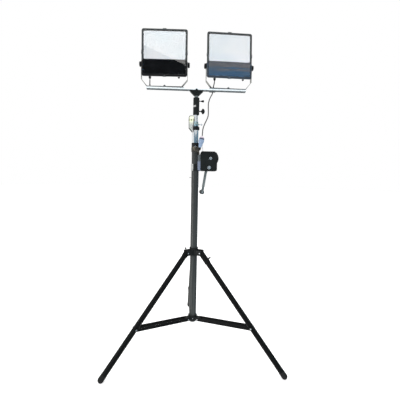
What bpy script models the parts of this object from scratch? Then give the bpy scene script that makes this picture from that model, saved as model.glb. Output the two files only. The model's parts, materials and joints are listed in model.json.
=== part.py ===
"""Twin LED work light on a wind-up tripod stand.

Everything hangs from an empty on the mast's axis. +Z is up, +Y points at the back leg, and the
origin is on the floor, below the centre of the stand's footprint. Units are metres.
"""

import math

import bmesh
import bpy
from mathutils import Vector

GAP = 0.0003  # between pieces that touch

# Stand
FOOT_REACH = 0.616  # mast axis to the middle of each foot
MAST_Y = -FOOT_REACH / 4  # the footprint's centre is this far behind the mast
LEG_AZIMUTHS = {"left": 210.0, "back": 90.0, "level": 330.0}
LEG_PIVOT = (0.055, 0.680)  # distance from the mast's axis, height
HUB_PIVOT = (0.045, 0.2235)
LEG_RADIUS = 0.0170
LEG_HEAD = 0.0192  # half the width of a leg's top fitting
BRACE_JOINT = 0.636  # part of the way down the leg
BRACE_WIDTH = 0.0205
CHEEK_INSIDE, CHEEK = 0.0176, 0.0025  # half the gap between a brace's cheeks, thickness
EAR_INSIDE, EAR = 0.0196, 0.004  # the same for the collar's ears
FOOT_RADIUS = 0.0180
FOOT_HEIGHT = 0.0166  # of the foot's ball above the floor, which cuts it flat
PIN_RADIUS = 0.004
PIN_END = 0.002  # a pin's length outside the collar's ears
LEG_END = 0.006  # the leg's tube stops this far above the middle of its foot
SLEEVE_LENGTH = 0.082  # of the levelling leg's sleeve, below the pivot
SCREW_DOWN = 0.060  # the levelling screw's distance down the sleeve

# Mast: three telescopic tubes
OUTER, OUTER_BORE = 0.024, 0.022
MIDDLE, MIDDLE_BORE = 0.0175, 0.0155
INNER, INNER_BORE = 0.0125, 0.0105
MAST_FOOT, MAST_TOP = 0.200, 1.398
MIDDLE_TOP = 1.5115
SOCKET_BOTTOM, SOCKET_TOP = 1.585, 1.693
SOCKET_RADIUS = 0.020
PLUNGER_HEIGHT = 1.5237
SPIGOT_SCREW_HEIGHT, SOCKET_KNOB_HEIGHT = 1.673, 1.6083

# Winch, front view: x from the mast's axis and height
DRUM_AXLE = (0.0981, 1.3045)
MODULE = 0.0018
GEAR_TEETH, PINION_TEETH = 46, 21
CENTRE_DISTANCE = MODULE * (GEAR_TEETH + PINION_TEETH) / 2
CRANK_LEAN = math.radians(8.0)  # of the line from the drum's axle down to the crank's
CRANK_AXLE = (
    DRUM_AXLE[0] - CENTRE_DISTANCE * math.sin(CRANK_LEAN),
    DRUM_AXLE[1] - CENTRE_DISTANCE * math.cos(CRANK_LEAN),
)
CRANK_LENGTH, CRANK_ANGLE = 0.168, math.radians(12.6)  # the arm leans towards the mast
AXLE_RADIUS = 0.006
AXLE_HEAD, HEAD_DEPTH = 0.004, -0.0325  # thickness and place of the axles' heads
GEAR_DEPTH = 0.0162  # behind the mast's axis, for both gears
ARM_DEPTH, ARM = 0.0365, 0.005  # the crank's arm, the same way, and its thickness
UPPER_PULLEY = (-0.031, 1.551)
LOWER_PULLEY = (0.0305, 1.4185)

# Crossbar and lamps
BAR_LENGTH, BAR_DEPTH, BAR_HEIGHT = 0.640, 0.028, 0.015
BAR_BOTTOM = 1.7385
BAR_TOP = BAR_BOTTOM + BAR_HEIGHT
LAMP_X = 0.2067
LAMP_WIDTH, LAMP_HEIGHT = 0.290, 0.290
PIVOT_HEIGHT = 1.893
PIVOT_UP = 0.0775  # above the lamp's lower edge
LAMP_POSE = {"left": (-2.0, 1.25), "right": (1.5, 4.3)}  # turn and backward tilt, degrees
YOKE_HALF = 0.147
STRAP = 0.003
KNOB_INSET = 0.0025  # a side knob's seat, inside the middle of the yoke's arm
LEAD_RADIUS = 0.00325
LEAD_SPACING = 5 * LEAD_RADIUS

PALETTE = {  # colour, roughness, metallic
    "mast_grey": ((0.066, 0.066, 0.062), 0.45, 0.3),
    "black_cast": ((0.012, 0.013, 0.014), 0.45, 0.0),
    "black_plastic": ((0.008, 0.008, 0.009), 0.4, 0.0),
    "rubber": ((0.010, 0.010, 0.010), 0.8, 0.0),
    "chrome": ((0.60, 0.62, 0.64), 0.12, 1.0),
    "zinc": ((0.30, 0.42, 0.48), 0.3, 0.9),
    "steel": ((0.50, 0.51, 0.52), 0.3, 1.0),
    "galvanised": ((0.74, 0.80, 0.80), 0.35, 0.8),
    "nylon": ((0.80, 0.82, 0.66), 0.5, 0.0),
    "arm_grey": ((0.16, 0.19, 0.19), 0.4, 0.6),
    "glass": ((0.85, 0.88, 0.90), 0.05, 0.0),
    "reflector": ((0.88, 0.89, 0.90), 0.4, 0.0),
    "cable": ((0.07, 0.065, 0.06), 0.6, 0.0),
    "plug_blue": ((0.36, 0.46, 0.60), 0.45, 0.0),
}


# --- helpers ---------------------------------------------------------------------------------


def clear_scene():
    for obj in list(bpy.data.objects):
        bpy.data.objects.remove(obj, do_unlink=True)


def collection(name):
    made = bpy.data.collections.new(name)
    bpy.context.scene.collection.children.link(made)
    return made


clear_scene()
PARTS = collection("work_light")
CUTTERS = collection("cutters")
CUTTERS.hide_render = True


def material(name):
    if name in bpy.data.materials:
        return bpy.data.materials[name]
    colour, roughness, metallic = PALETTE[name]
    made = bpy.data.materials.new(name)
    made.use_nodes = True
    shader = made.node_tree.nodes["Principled BSDF"]
    shader.inputs["Base Color"].default_value = (*colour, 1.0)
    shader.inputs["Roughness"].default_value = roughness
    shader.inputs["Metallic"].default_value = metallic
    made.diffuse_color = (*colour, 1.0)
    return made


def empty(name, location, parent=None, rotation=(0, 0, 0)):
    made = bpy.data.objects.new(name, None)
    PARTS.objects.link(made)
    made.parent = parent
    made.location = location
    made.rotation_euler = [math.radians(angle) for angle in rotation]
    return made


def add(name, data, colour, parent, location, rotation):
    """A node at a place in its parent's frame, angles in degrees."""
    made = bpy.data.objects.new(name, data)
    PARTS.objects.link(made)
    made.parent = parent
    made.location = location
    made.rotation_euler = [math.radians(angle) for angle in rotation]
    if colour:
        data.materials.append(material(colour))
    return made


def box(name, size, location, parent, colour=None, rotation=(0, 0, 0), bevel=0.0):
    mesh = bpy.data.meshes.new(name)
    shape = bmesh.new()
    bmesh.ops.create_cube(shape, size=1.0)
    bmesh.ops.scale(shape, vec=size, verts=shape.verts)
    shape.to_mesh(mesh)
    shape.free()
    made = add(name, mesh, colour, parent, location, rotation)
    if bevel:
        edges = made.modifiers.new("edges", "BEVEL")
        edges.width, edges.segments = bevel, 2
    return made


TURN = {"X": (0, 90, 0), "Y": (90, 0, 0), "Z": (0, 0, 0)}


def rod(name, radius, length, location, parent, colour=None, axis="Z", sides=16):
    mesh = bpy.data.meshes.new(name)
    shape = bmesh.new()
    bmesh.ops.create_cone(
        shape, cap_ends=True, segments=sides, radius1=radius, radius2=radius, depth=length
    )
    shape.to_mesh(mesh)
    shape.free()
    mesh.shade_smooth()
    mesh.set_sharp_from_angle(angle=math.radians(40))
    return add(name, mesh, colour, parent, location, TURN[axis])


def turned(name, profile, parent, colour=None, location=(0, 0, 0), rotation=(0, 0, 0), steps=16):
    """A Screw of (radius, height) points that run down the outer side. A profile that leaves the
    axis ends on it; any other is closed into a ring."""
    mesh = bpy.data.meshes.new(name)
    points = [(radius, 0.0, height) for radius, height in profile]
    edges = [(i, i + 1) for i in range(len(points) - 1)]
    if profile[0][0] > 0:
        edges.append((len(points) - 1, 0))
    mesh.from_pydata(points, edges, [])
    made = add(name, mesh, colour, parent, location, rotation)
    screw = made.modifiers.new("turn", "SCREW")
    screw.steps = screw.render_steps = steps
    screw.use_merge_vertices = True
    screw.merge_threshold = 0.00001
    screw.use_smooth_shade = True
    return made


def tube(name, outside, bore, bottom, top, parent, colour=None, steps=20):
    profile = [(bore, top), (outside, top), (outside, bottom), (bore, bottom)]
    return turned(name, profile, parent, colour, steps=steps)


def arc(centre, radius, start, end, count):
    angles = [math.radians(start + (end - start) * i / count) for i in range(count + 1)]
    return [(centre[0] + radius * math.cos(a), centre[1] + radius * math.sin(a)) for a in angles]


def rounded(width, height, radius, count=4, centre=(0, 0)):
    points = []
    for sx, sy, start in ((1, 1, 0), (-1, 1, 90), (-1, -1, 180), (1, -1, 270)):
        corner = (centre[0] + sx * (width / 2 - radius), centre[1] + sy * (height / 2 - radius))
        points += arc(corner, radius, start, start + 90, count)
    return points


def stadium(start, end, width, count=4):
    """The outline of a bar with round ends between two points."""
    along = Vector(end) - Vector(start)
    angle = math.degrees(math.atan2(along.y, along.x))
    return arc(end, width / 2, angle - 90, angle + 90, count) + arc(
        start, width / 2, angle + 90, angle + 270, count
    )


def ribbon(points, thickness):
    """The outline of a bent strap along a centre line."""
    line = [Vector(p) for p in points]
    sides = ([], [])
    for i, point in enumerate(line):
        before = (point - line[i - 1]).normalized() if i else (line[1] - point).normalized()
        after = (line[i + 1] - point).normalized() if i + 1 < len(line) else before
        normal = Vector((-(before + after).y, (before + after).x)).normalized()
        reach = thickness / 2 / normal.dot(Vector((-before.y, before.x)))
        sides[0].append(point + normal * reach)
        sides[1].append(point - normal * reach)
    return [tuple(p) for p in sides[0] + sides[1][::-1]]


def plate(name, outlines, thickness, parent, colour=None, location=(0, 0, 0), rotation=(90, 0, 0)):
    """A flat outline extruded by its thickness, holes being further outlines. As it stands, its
    first axis is x and its second is height."""
    curve = bpy.data.curves.new(name, "CURVE")
    curve.dimensions = "2D"
    curve.fill_mode = "BOTH"
    curve.extrude = thickness / 2
    for outline in outlines:
        spline = curve.splines.new("POLY")
        spline.points.add(len(outline) - 1)
        for point, (x, y) in zip(spline.points, outline):
            point.co = (x, y, 0, 1)
        spline.use_cyclic_u = True
    guide = bpy.data.objects.new(name + "_curve", curve)
    PARTS.objects.link(guide)
    graph = bpy.context.evaluated_depsgraph_get()
    mesh = bpy.data.meshes.new_from_object(guide.evaluated_get(graph))
    bpy.data.objects.remove(guide, do_unlink=True)
    shape = bmesh.new()
    shape.from_mesh(mesh)
    bmesh.ops.remove_doubles(shape, verts=shape.verts, dist=0.000001)
    bmesh.ops.recalc_face_normals(shape, faces=shape.faces)
    shape.to_mesh(mesh)
    shape.free()
    return add(name, mesh, colour, parent, location, rotation)


def wire(name, points, radius, parent, colour, resolution=2):
    curve = bpy.data.curves.new(name, "CURVE")
    curve.dimensions = "3D"
    curve.bevel_depth = radius
    curve.bevel_resolution = resolution
    curve.use_fill_caps = True
    spline = curve.splines.new("POLY")
    spline.points.add(len(points) - 1)
    for point, place in zip(spline.points, points):
        point.co = (*place, 1)
    return add(name, curve, colour, parent, (0, 0, 0), (0, 0, 0))


def smooth_route(route, spacing):
    """Evenly spaced points on a Catmull-Rom curve through the route's own points."""
    line = [Vector(p) for p in route]
    line = [2 * line[0] - line[1]] + line + [2 * line[-1] - line[-2]]
    fine = []
    for a, b, c, d in zip(line, line[1:], line[2:], line[3:]):
        for step in range(20):
            t = step / 20
            fine.append(
                0.5 * (2 * b + (c - a) * t + (2 * a - 5 * b + 4 * c - d) * t**2
                       + (3 * b - a - 3 * c + d) * t**3)
            )
    fine.append(line[-2])
    length = sum((b - a).length for a, b in zip(fine, fine[1:]))
    count = max(4, round(length / spacing))
    picked, walked, target = [fine[0]], 0.0, length / count
    for a, b in zip(fine, fine[1:]):
        step = (b - a).length
        while walked + step >= target - 1e-9 and len(picked) < count:
            picked.append(a.lerp(b, (target - walked) / step))
            target += length / count
        walked += step
    picked.append(fine[-1])
    return picked


def combine(target, tool, operation):
    modifier = target.modifiers.new(tool.name, "BOOLEAN")
    modifier.operation = operation
    modifier.object = tool
    PARTS.objects.unlink(tool)
    CUTTERS.objects.link(tool)
    tool.hide_render = True
    tool.display_type = "WIRE"


def cut(target, *tools):
    for tool in tools:
        combine(target, tool, "DIFFERENCE")


def join(target, *tools):
    for tool in tools:
        combine(target, tool, "UNION")


def radial(distance, azimuth, height, sideways=0.0):
    """A place at a distance from the mast's axis, in the stand's frame."""
    angle = math.radians(azimuth)
    return (
        distance * math.cos(angle) - sideways * math.sin(angle),
        distance * math.sin(angle) + sideways * math.cos(angle),
        height,
    )


# --- stand -----------------------------------------------------------------------------------

LEG_LENGTH = math.hypot(FOOT_REACH - LEG_PIVOT[0], LEG_PIVOT[1] - FOOT_HEIGHT)
LEG_ANGLE = math.degrees(math.atan2(FOOT_REACH - LEG_PIVOT[0], LEG_PIVOT[1] - FOOT_HEIGHT))
JOINT_REACH = LEG_PIVOT[0] + (FOOT_REACH - LEG_PIVOT[0]) * BRACE_JOINT
JOINT_HEIGHT = LEG_PIVOT[1] + (FOOT_HEIGHT - LEG_PIVOT[1]) * BRACE_JOINT
BRACE_LENGTH = math.hypot(JOINT_REACH - HUB_PIVOT[0], JOINT_HEIGHT - HUB_PIVOT[1])
BRACE_ANGLE = math.degrees(
    math.atan2(JOINT_REACH - HUB_PIVOT[0], JOINT_HEIGHT - HUB_PIVOT[1])
)


def base_hub(stand):
    bore, floor = OUTER + GAP, MAST_FOOT - GAP
    radius, top, bottom, ear_middle = 0.030, 0.243, 0.1937, 0.0405
    profile = [(0, floor), (bore, floor), (bore, top), (0.028, top), (radius, 0.240)]
    profile += arc((0, HUB_PIVOT[1]), radius, 0, -75, 5)
    profile.append((0, bottom))
    hub = turned("base_hub", profile, stand, "black_cast", steps=28)
    for name, azimuth in LEG_AZIMUTHS.items():
        ear = box(
            f"hub_ear_{name}", (0.029, 2 * (CHEEK_INSIDE - 0.0004), 0.018),
            radial(ear_middle, azimuth, HUB_PIVOT[1]), stand, rotation=(0, 0, azimuth),
        )
        join(hub, ear)
        hole = rod(
            f"hub_hole_{name}", PIN_RADIUS + GAP, 0.044,
            radial(HUB_PIVOT[0], azimuth, HUB_PIVOT[1]), stand, sides=10,
        )
        hole.rotation_euler = (math.radians(90), 0, math.radians(azimuth))
        cut(hub, hole)


def leg_collar(carrier):
    """The sliding collar that carries the legs, with a pair of ears for each."""
    radius, height, middle = 0.0285, 0.052, 0.006  # the middle is above the legs' pivots
    ear_length, ear_height, ear_middle = 0.048, 0.034, 0.0400
    collar = tube(
        "leg_collar", radius, OUTER + GAP, middle - height / 2, middle + height / 2,
        carrier, "black_cast", 28,
    )
    for name, azimuth in LEG_AZIMUTHS.items():
        for side in (-1, 1):
            ear = box(
                f"collar_ear_{name}_{side}", (ear_length, EAR, ear_height),
                radial(ear_middle, azimuth, 0, side * (EAR_INSIDE + EAR / 2)), carrier,
                rotation=(0, 0, azimuth),
            )
            join(collar, ear)
        hole = rod(
            f"collar_hole_{name}", PIN_RADIUS + GAP, 0.056,
            radial(LEG_PIVOT[0], azimuth, 0), carrier, sides=10,
        )
        hole.rotation_euler = (math.radians(90), 0, math.radians(azimuth))
        cut(collar, hole)
    return collar


def leg_pin(name, leg, reach):
    return rod(f"{name}_pin", PIN_RADIUS, 2 * reach, (0, 0, 0), leg, axis="Y", sides=10)


def plain_leg(name, leg):
    """A leg with its wider top fitting and the pin that turns in the collar's ears."""
    profile = [
        (0, 0.014), (0.014, 0.014), (LEG_HEAD, 0.008), (LEG_HEAD, -0.028),
        (LEG_RADIUS, -0.034), (LEG_RADIUS, LEG_END - LEG_LENGTH), (0, LEG_END - LEG_LENGTH),
    ]
    made = turned(f"{name}_leg", profile, leg, "black_cast", steps=16)
    join(made, leg_pin(name, leg, EAR_INSIDE + EAR + PIN_END))


def level_leg(leg, sliding):
    """The levelling leg: a short sleeve on the collar and a tube that slides through it."""
    profile = [
        (LEG_RADIUS + GAP, 0.014), (LEG_HEAD, 0.014), (LEG_HEAD, -SLEEVE_LENGTH),
        (LEG_RADIUS + GAP, -SLEEVE_LENGTH),
    ]
    sleeve = turned("level_leg_sleeve", profile, leg, "black_cast", steps=16)
    for side in (-1, 1):
        reach = EAR_INSIDE + EAR + PIN_END
        inside = LEG_RADIUS + 0.001
        pin = rod(
            f"sleeve_pin_{side}", PIN_RADIUS, reach - inside,
            (0, side * (reach + inside) / 2, 0), leg, axis="Y", sides=10,
        )
        join(sleeve, pin)
    boss = rod("sleeve_boss", 0.007, 0.006, (LEG_HEAD + 0.0025, 0, -SCREW_DOWN), leg, axis="X")
    join(sleeve, boss)
    profile = [
        (0, 0.010), (LEG_RADIUS, 0.010), (LEG_RADIUS, LEG_END - LEG_LENGTH),
        (0, LEG_END - LEG_LENGTH),
    ]
    turned("level_leg_tube", profile, sliding, "black_cast", steps=16)


def level_screw(turning):
    """A wing screw in the sleeve's boss, pointing away from the leg."""
    screw = rod("level_screw", 0.003, 0.007, (0.0035, 0, 0), turning, "black_plastic", "X", 12)
    wing = box("level_wing", (0.010, 0.022, 0.0045), (0.0095, 0, 0), turning, bevel=0.0015)
    hub = rod("level_wing_hub", 0.005, 0.006, (0.006, 0, 0), turning, axis="X", sides=12)
    join(screw, hub, wing)


def foot(name, leg, stand):
    """A rubber ball end around the leg's tip, flat where it stands on the floor."""
    seat, rim = LEG_END - GAP - LEG_LENGTH, 0.028 - LEG_LENGTH
    ball = arc((0, -LEG_LENGTH), FOOT_RADIUS, 0, -90, 5)
    profile = [
        (0, seat), (LEG_RADIUS + GAP, seat), (LEG_RADIUS + GAP, rim), (FOOT_RADIUS, rim),
    ] + ball[:-1]
    profile.append((0, -FOOT_RADIUS - LEG_LENGTH))
    made = turned(f"{name}_foot", profile, leg, "rubber", steps=16)
    floor = box(
        f"{name}_floor", (0.08, 0.08, 0.04), radial(FOOT_REACH, LEG_AZIMUTHS[name], -0.02), stand
    )
    cut(made, floor)


def brace(name, frame):
    """Two flat cheeks that straddle the leg, joined by the pin in the hub's ear."""
    middle = CHEEK_INSIDE + CHEEK / 2
    rivet_middle = CHEEK_INSIDE + CHEEK + 0.0012
    outline = stadium((0, 0), (0, BRACE_LENGTH), BRACE_WIDTH)
    made = rod(
        f"{name}_brace", PIN_RADIUS, 2 * (CHEEK_INSIDE + CHEEK), (0, 0, 0), frame, "black_cast",
        "Y", 10,
    )
    for side in (-1, 1):
        cheek = plate(
            f"{name}_cheek_{side}", [outline], CHEEK, frame, location=(0, side * middle, 0)
        )
        join(made, cheek)
        for place in (0, BRACE_LENGTH):
            rivet = rod(
                f"{name}_rivet_{side}_at_{place:.2f}", 0.007, 0.003,
                (0, side * rivet_middle, place), frame, axis="Y", sides=8,
            )
            join(made, rivet)


def collar_knob(turning):
    """A small thumb knob on top of the left leg's ear."""
    profile = [(0, 0.013), (0.004, 0.013), (0.006, 0.011), (0.006, 0.005), (0.003, 0.004),
               (0.003, 0), (0, 0)]
    turned("collar_knob", profile, turning, "black_plastic", steps=16)


def tripod(stand):
    base_hub(stand)
    carrier = empty("collar_frame", (0, 0, LEG_PIVOT[1]), stand)
    leg_collar(carrier)
    knob = empty("collar_knob_axis", radial(0.050, 210, 0.017 + GAP, -EAR_INSIDE - EAR / 2), carrier)
    collar_knob(knob)
    for name, azimuth in LEG_AZIMUTHS.items():
        place = radial(LEG_PIVOT[0], azimuth, 0)
        leg = empty(f"{name}_leg_axis", place, carrier, (0, -LEG_ANGLE, azimuth))
        if name == "level":
            level_leg(leg, leg)
            turning = empty("level_screw_axis", (LEG_HEAD + 0.0055 + GAP, 0, -SCREW_DOWN), leg)
            level_screw(turning)
        else:
            plain_leg(name, leg)
        foot(name, leg, stand)
        hinge = radial(HUB_PIVOT[0], azimuth, HUB_PIVOT[1])
        brace(name, empty(f"{name}_brace_axis", hinge, stand, (0, BRACE_ANGLE, azimuth)))


# --- mast ------------------------------------------------------------------------------------


def mast(stand):
    tube("outer_tube", OUTER, OUTER_BORE, MAST_FOOT, MAST_TOP, stand, "mast_grey", 28)
    radius, top, bottom = 0.0262, MAST_TOP + 0.006, MAST_TOP - 0.030
    profile = [
        (MIDDLE + GAP, top), (radius - 0.001, top), (radius, top - 0.002), (radius, bottom),
        (OUTER + GAP, bottom), (OUTER + GAP, MAST_TOP + GAP), (MIDDLE + GAP, MAST_TOP + GAP),
    ]
    collar = turned("mast_collar", profile, stand, "black_cast", steps=28)
    for side in (-1, 1):
        cheek = box(
            f"pulley_cheek_{side}", (0.017, 0.0025, 0.046),
            (0.0335, side * 0.0078, 1.408), stand,
        )
        join(collar, cheek)
    axle = rod("lower_pulley_axle", 0.003, 0.016, (LOWER_PULLEY[0], 0, LOWER_PULLEY[1]), stand,
               axis="Y", sides=14)
    join(collar, axle)


def pulley(name, radius, width, colour, turning):
    bore, groove = 0.0033, radius - 0.0025
    profile = [
        (bore, width / 2), (radius, width / 2), (radius, width / 2 - 0.002), (groove, 0.0012),
        (groove, -0.0012), (radius, 0.002 - width / 2), (radius, -width / 2), (bore, -width / 2),
    ]
    turned(name, profile, turning, colour, rotation=TURN["Y"], steps=20)


def middle_section(lift):
    tube("middle_tube", MIDDLE, MIDDLE_BORE, 0.450, MIDDLE_TOP, lift, "chrome", 24)
    ring = tube(
        "wiper_ring", 0.0195, MIDDLE + GAP, 1.486, MIDDLE_TOP, lift, "black_plastic", 24
    )
    boss = box("ring_boss", (0.005, 0.012, 0.018), (0.0208, 0, 1.498), lift, bevel=0.001)
    join(ring, boss)
    collar = tube(
        "middle_collar", 0.0155, INNER + GAP, MIDDLE_TOP + GAP, 1.541, lift, "zinc", 20
    )
    boss = rod("plunger_boss", 0.006, 0.005, (0.0165, 0, PLUNGER_HEIGHT), lift, axis="X",
               sides=16)
    join(collar, boss)
    pulley_bracket(lift)
    top, bottom = 1.4695, MAST_TOP + 0.0065
    rod("stage_rope", 0.0014, top - bottom, (-0.0225, 0, (top + bottom) / 2), lift, "steel",
        sides=10)


def pulley_bracket(lift):
    """Two cheeks beside the upper pulley, tied by a web below it."""
    outline = arc((-0.034, 1.565), 0.013, 90, 180, 5)
    outline += [(-0.0465, 1.499), (-0.0215, 1.4705), (-0.0212, 1.5135), (-0.0163, 1.515),
                (-0.0163, 1.543), (-0.0135, 1.545), (-0.0135, 1.574), (-0.0175, 1.578)]
    web = box("pulley_bracket", (0.0045, 0.0205, 0.040), (-0.0237, 0, 1.4975), lift, "steel")
    for side in (-1, 1):
        cheek = plate(
            f"bracket_cheek_{side}", [outline], 0.002, lift, location=(0, side * 0.0093, 0)
        )
        join(web, cheek)
    axle = rod("upper_pulley_axle", 0.003, 0.025, (UPPER_PULLEY[0], 0, UPPER_PULLEY[1]), lift,
               axis="Y", sides=14)
    join(web, axle)


def lock_plunger(sliding):
    profile = [(0, 0.0225), (0.0035, 0.0225), (0.005, 0.021), (0.005, 0.011), (0.0035, 0.009),
               (0.0035, 0), (0, 0)]
    turned("lock_plunger", profile, sliding, "chrome", rotation=TURN["X"], steps=16)


def inner_section(stage):
    tube("inner_tube", INNER, INNER_BORE, 0.460, 1.6155, stage, "chrome", 20)
    top_bore, step = 0.0143, 1.6235
    profile = [
        (top_bore, SOCKET_TOP), (0.0185, SOCKET_TOP), (SOCKET_RADIUS, SOCKET_TOP - 0.0015),
        (SOCKET_RADIUS, SOCKET_BOTTOM + 0.0015), (0.0185, SOCKET_BOTTOM),
        (INNER + GAP, SOCKET_BOTTOM), (INNER + GAP, step), (top_bore, step),
    ]
    turned("top_socket", profile, stage, "black_cast", steps=20)


def spigot_screw(turning):
    """A slim thumb screw whose head widens outwards."""
    profile = [(0, 0.0295), (0.0052, 0.0295), (0.007, 0.027), (0.007, 0.022), (0.003, 0.010),
               (0.003, 0), (0, 0)]
    turned("spigot_screw", profile, turning, "black_plastic", rotation=TURN["X"], steps=16)


def socket_knob(turning):
    """A mushroom knob on its shaft."""
    profile = [(0, 0.0370), (0.0075, 0.0345), (0.0130, 0.0315), (0.0168, 0.0275),
               (0.018, 0.0235), (0.0165, 0.0195), (0.006, 0.0130), (0.0035, 0.0110),
               (0.0035, 0), (0, 0)]
    turned("socket_knob", profile, turning, "black_plastic", rotation=TURN["X"], steps=16)


# --- winch -----------------------------------------------------------------------------------


def winch_outline(inset):
    """The winch's front view, drawn in by a wall's thickness."""
    left, right, bottom, top = 0.034, 0.141, 1.2225, 1.3495
    corner = 0.010
    outline = arc((left + corner, bottom + corner), corner - inset, 180, 270, 3)
    outline += arc((right - corner, bottom + corner), corner - inset, 270, 360, 3)
    outline += arc(DRUM_AXLE, 0.052 - inset, -34, 60, 12)
    outline += arc((left + corner, top - corner), corner - inset, 90, 180, 3)
    return outline


def winch(stand):
    front, back, wall, hole_radius = -0.030, 0.027, 0.003, 0.0065
    cover = plate(
        "winch_cover", [winch_outline(0)], back - front, stand, "black_cast",
        location=(0, (front + back) / 2, 0),
    )
    hollow = plate(
        "winch_hollow", [winch_outline(0.0015)], back - front, stand,
        location=(0, (front + back) / 2 + wall, 0),
    )
    mouth = box("rope_mouth", (0.034, 0.014, 0.040), (0.047, -0.005, 1.340), stand)
    holes = [
        rod(f"cover_hole_{i}", hole_radius, 0.02, (x, front, z), stand, axis="Y", sides=20)
        for i, (x, z) in enumerate((DRUM_AXLE, CRANK_AXLE))
    ]
    cut(cover, hollow, mouth, *holes)
    back_plate = plate(
        "winch_back_plate", [winch_outline(0)], wall, stand, "black_cast",
        location=(0, back + GAP + wall / 2, 0),
    )
    shaft_hole = rod("back_hole", hole_radius, 0.02, (CRANK_AXLE[0], back, CRANK_AXLE[1]), stand,
                     axis="Y", sides=20)
    axle = rod("drum_axle", AXLE_RADIUS, 0.064, (DRUM_AXLE[0], -0.0025, DRUM_AXLE[1]), stand,
               axis="Y", sides=20)
    head = rod("drum_axle_head", 0.0105, AXLE_HEAD, (DRUM_AXLE[0], HEAD_DEPTH, DRUM_AXLE[1]),
               stand, axis="Y", sides=20)
    cut(back_plate, shaft_hole)
    join(back_plate, axle, head)
    winch_bracket(stand)
    start = (DRUM_AXLE[0] - 0.0240, -0.006, DRUM_AXLE[1] + 0.004)
    centre = (LOWER_PULLEY[0], LOWER_PULLEY[1])
    over = [(x, 0.0, z) for x, z in arc(centre, 0.0108, 10, 150, 8)]
    wire("lift_rope", [start, (0.0490, -0.003, 1.352)] + over, 0.0013, stand, "steel", 1)


def winch_bracket(stand):
    """The clamp around the mast that carries the winch."""
    bottom, top, arm_height = 1.224, 1.267, 0.108
    middle = (bottom + top) / 2
    clamp = tube("winch_bracket", 0.0272, OUTER + GAP, bottom, top, stand, "steel", 28)
    arm = box("bracket_arm", (0.017, 0.026, arm_height), (0.0251, 0, 1.276), stand)
    block = box("clamp_block", (0.012, 0.024, top - bottom), (-0.0255, 0, middle), stand)
    bore = rod("clamp_bore", OUTER + GAP, 2 * arm_height, (0, 0, middle), stand, sides=28)
    join(clamp, arm, block)
    cut(clamp, bore)


def gear_outline(teeth):
    """Teeth thinner than their gaps, the first one centred on the first axis."""
    pitch = MODULE * teeth / 2
    outline = []
    for tooth in range(teeth):
        middle = 2 * math.pi * tooth / teeth
        for radius, part in ((pitch - MODULE, -0.26), (pitch + 0.7 * MODULE, -0.13),
                             (pitch + 0.7 * MODULE, 0.13), (pitch - MODULE, 0.26)):
            angle = middle + part * 2 * math.pi / teeth
            outline.append((radius * math.cos(angle), radius * math.sin(angle)))
    return outline


def turn_outline(outline, angle):
    c, s = math.cos(angle), math.sin(angle)
    return [(x * c - y * s, x * s + y * c) for x, y in outline]


def drum(turning):
    """The rope drum and, on its back flange, the large gear."""
    bore = 0.0063
    profile = [
        (bore, 0.0245), (0.036, 0.0245), (0.036, 0.022), (0.021, 0.022), (0.021, -0.009),
        (0.036, -0.009), (0.036, -0.0115), (bore, -0.0115),
    ]
    turned("rope_drum", profile, turning, "steel", rotation=TURN["Y"])
    towards_crank = -math.pi / 2 - CRANK_LEAN
    gap_at_crank = towards_crank + math.pi / GEAR_TEETH
    outline = turn_outline(gear_outline(GEAR_TEETH), gap_at_crank)
    plate("drum_gear", [outline, arc((0, 0), bore, 0, 345, 23)], 0.008, turning, "steel",
          location=(0, GEAR_DEPTH, 0))


def crank(turning):
    """The crank's shaft with its pinion, behind it the arm."""
    towards_drum = math.pi / 2 - CRANK_LEAN
    outline = turn_outline(gear_outline(PINION_TEETH), towards_drum)
    shaft = plate("crank_shaft", [outline], 0.009, turning, "steel",
                  location=(0, GEAR_DEPTH, 0))
    core = rod("shaft_core", AXLE_RADIUS, 0.074, (0, 0.0045, 0), turning, axis="Y", sides=20)
    head = rod("shaft_head", 0.0115, AXLE_HEAD, (0, HEAD_DEPTH, 0), turning, axis="Y", sides=20)
    join(shaft, core, head)
    tip = (-CRANK_LENGTH * math.sin(CRANK_ANGLE), -CRANK_LENGTH * math.cos(CRANK_ANGLE))
    elbow = (-0.0160, -0.0300)
    arm = plate("crank_arm", [ribbon([(0.002, 0.010), elbow, tip], 0.017)], ARM, turning,
                "arm_grey", location=(0, ARM_DEPTH, 0))
    end = rod("arm_end", 0.0105, ARM, (tip[0], ARM_DEPTH, tip[1]), turning, axis="Y")
    boss = rod("arm_boss", 0.0125, ARM, (0, ARM_DEPTH, 0), turning, axis="Y")
    join(arm, end, boss)
    hole = rod("arm_hole", AXLE_RADIUS + GAP, 0.02, (0, ARM_DEPTH, 0), turning, axis="Y", sides=20)
    pin_length = 0.060
    pin = rod("grip_pin", PIN_RADIUS, pin_length, (tip[0], ARM_DEPTH + pin_length / 2, tip[1]),
              turning, axis="Y", sides=14)
    cut(arm, hole)
    join(arm, pin)
    return tip


def crank_grip(turning):
    profile = [(0, -0.060), (0.0043, -0.060), (0.0043, 0), (0.0140, 0), (0.0155, -0.004),
               (0.0140, -0.020), (0.0150, -0.055), (0.0170, -0.070), (0.0160, -0.078),
               (0.011, -0.082), (0, -0.083)]
    turned("crank_grip", profile, turning, "black_plastic", rotation=TURN["Y"], steps=14)


# --- head ------------------------------------------------------------------------------------


def crossbar(head):
    """A C channel, its slot below."""
    depth, height, wall, slot = BAR_DEPTH / 2, BAR_HEIGHT, 0.002, 0.0055
    half = [(slot, 0), (depth, 0), (depth, height)]
    inside = [(depth - wall, height - wall), (depth - wall, wall), (slot, wall)]
    outline = half + [(-y, z) for y, z in reversed(half)]
    outline += [(-y, z) for y, z in reversed(inside)] + inside
    plate("crossbar", [outline], BAR_LENGTH, head, "galvanised", (0, 0, BAR_BOTTOM), (90, 0, 90))


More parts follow.
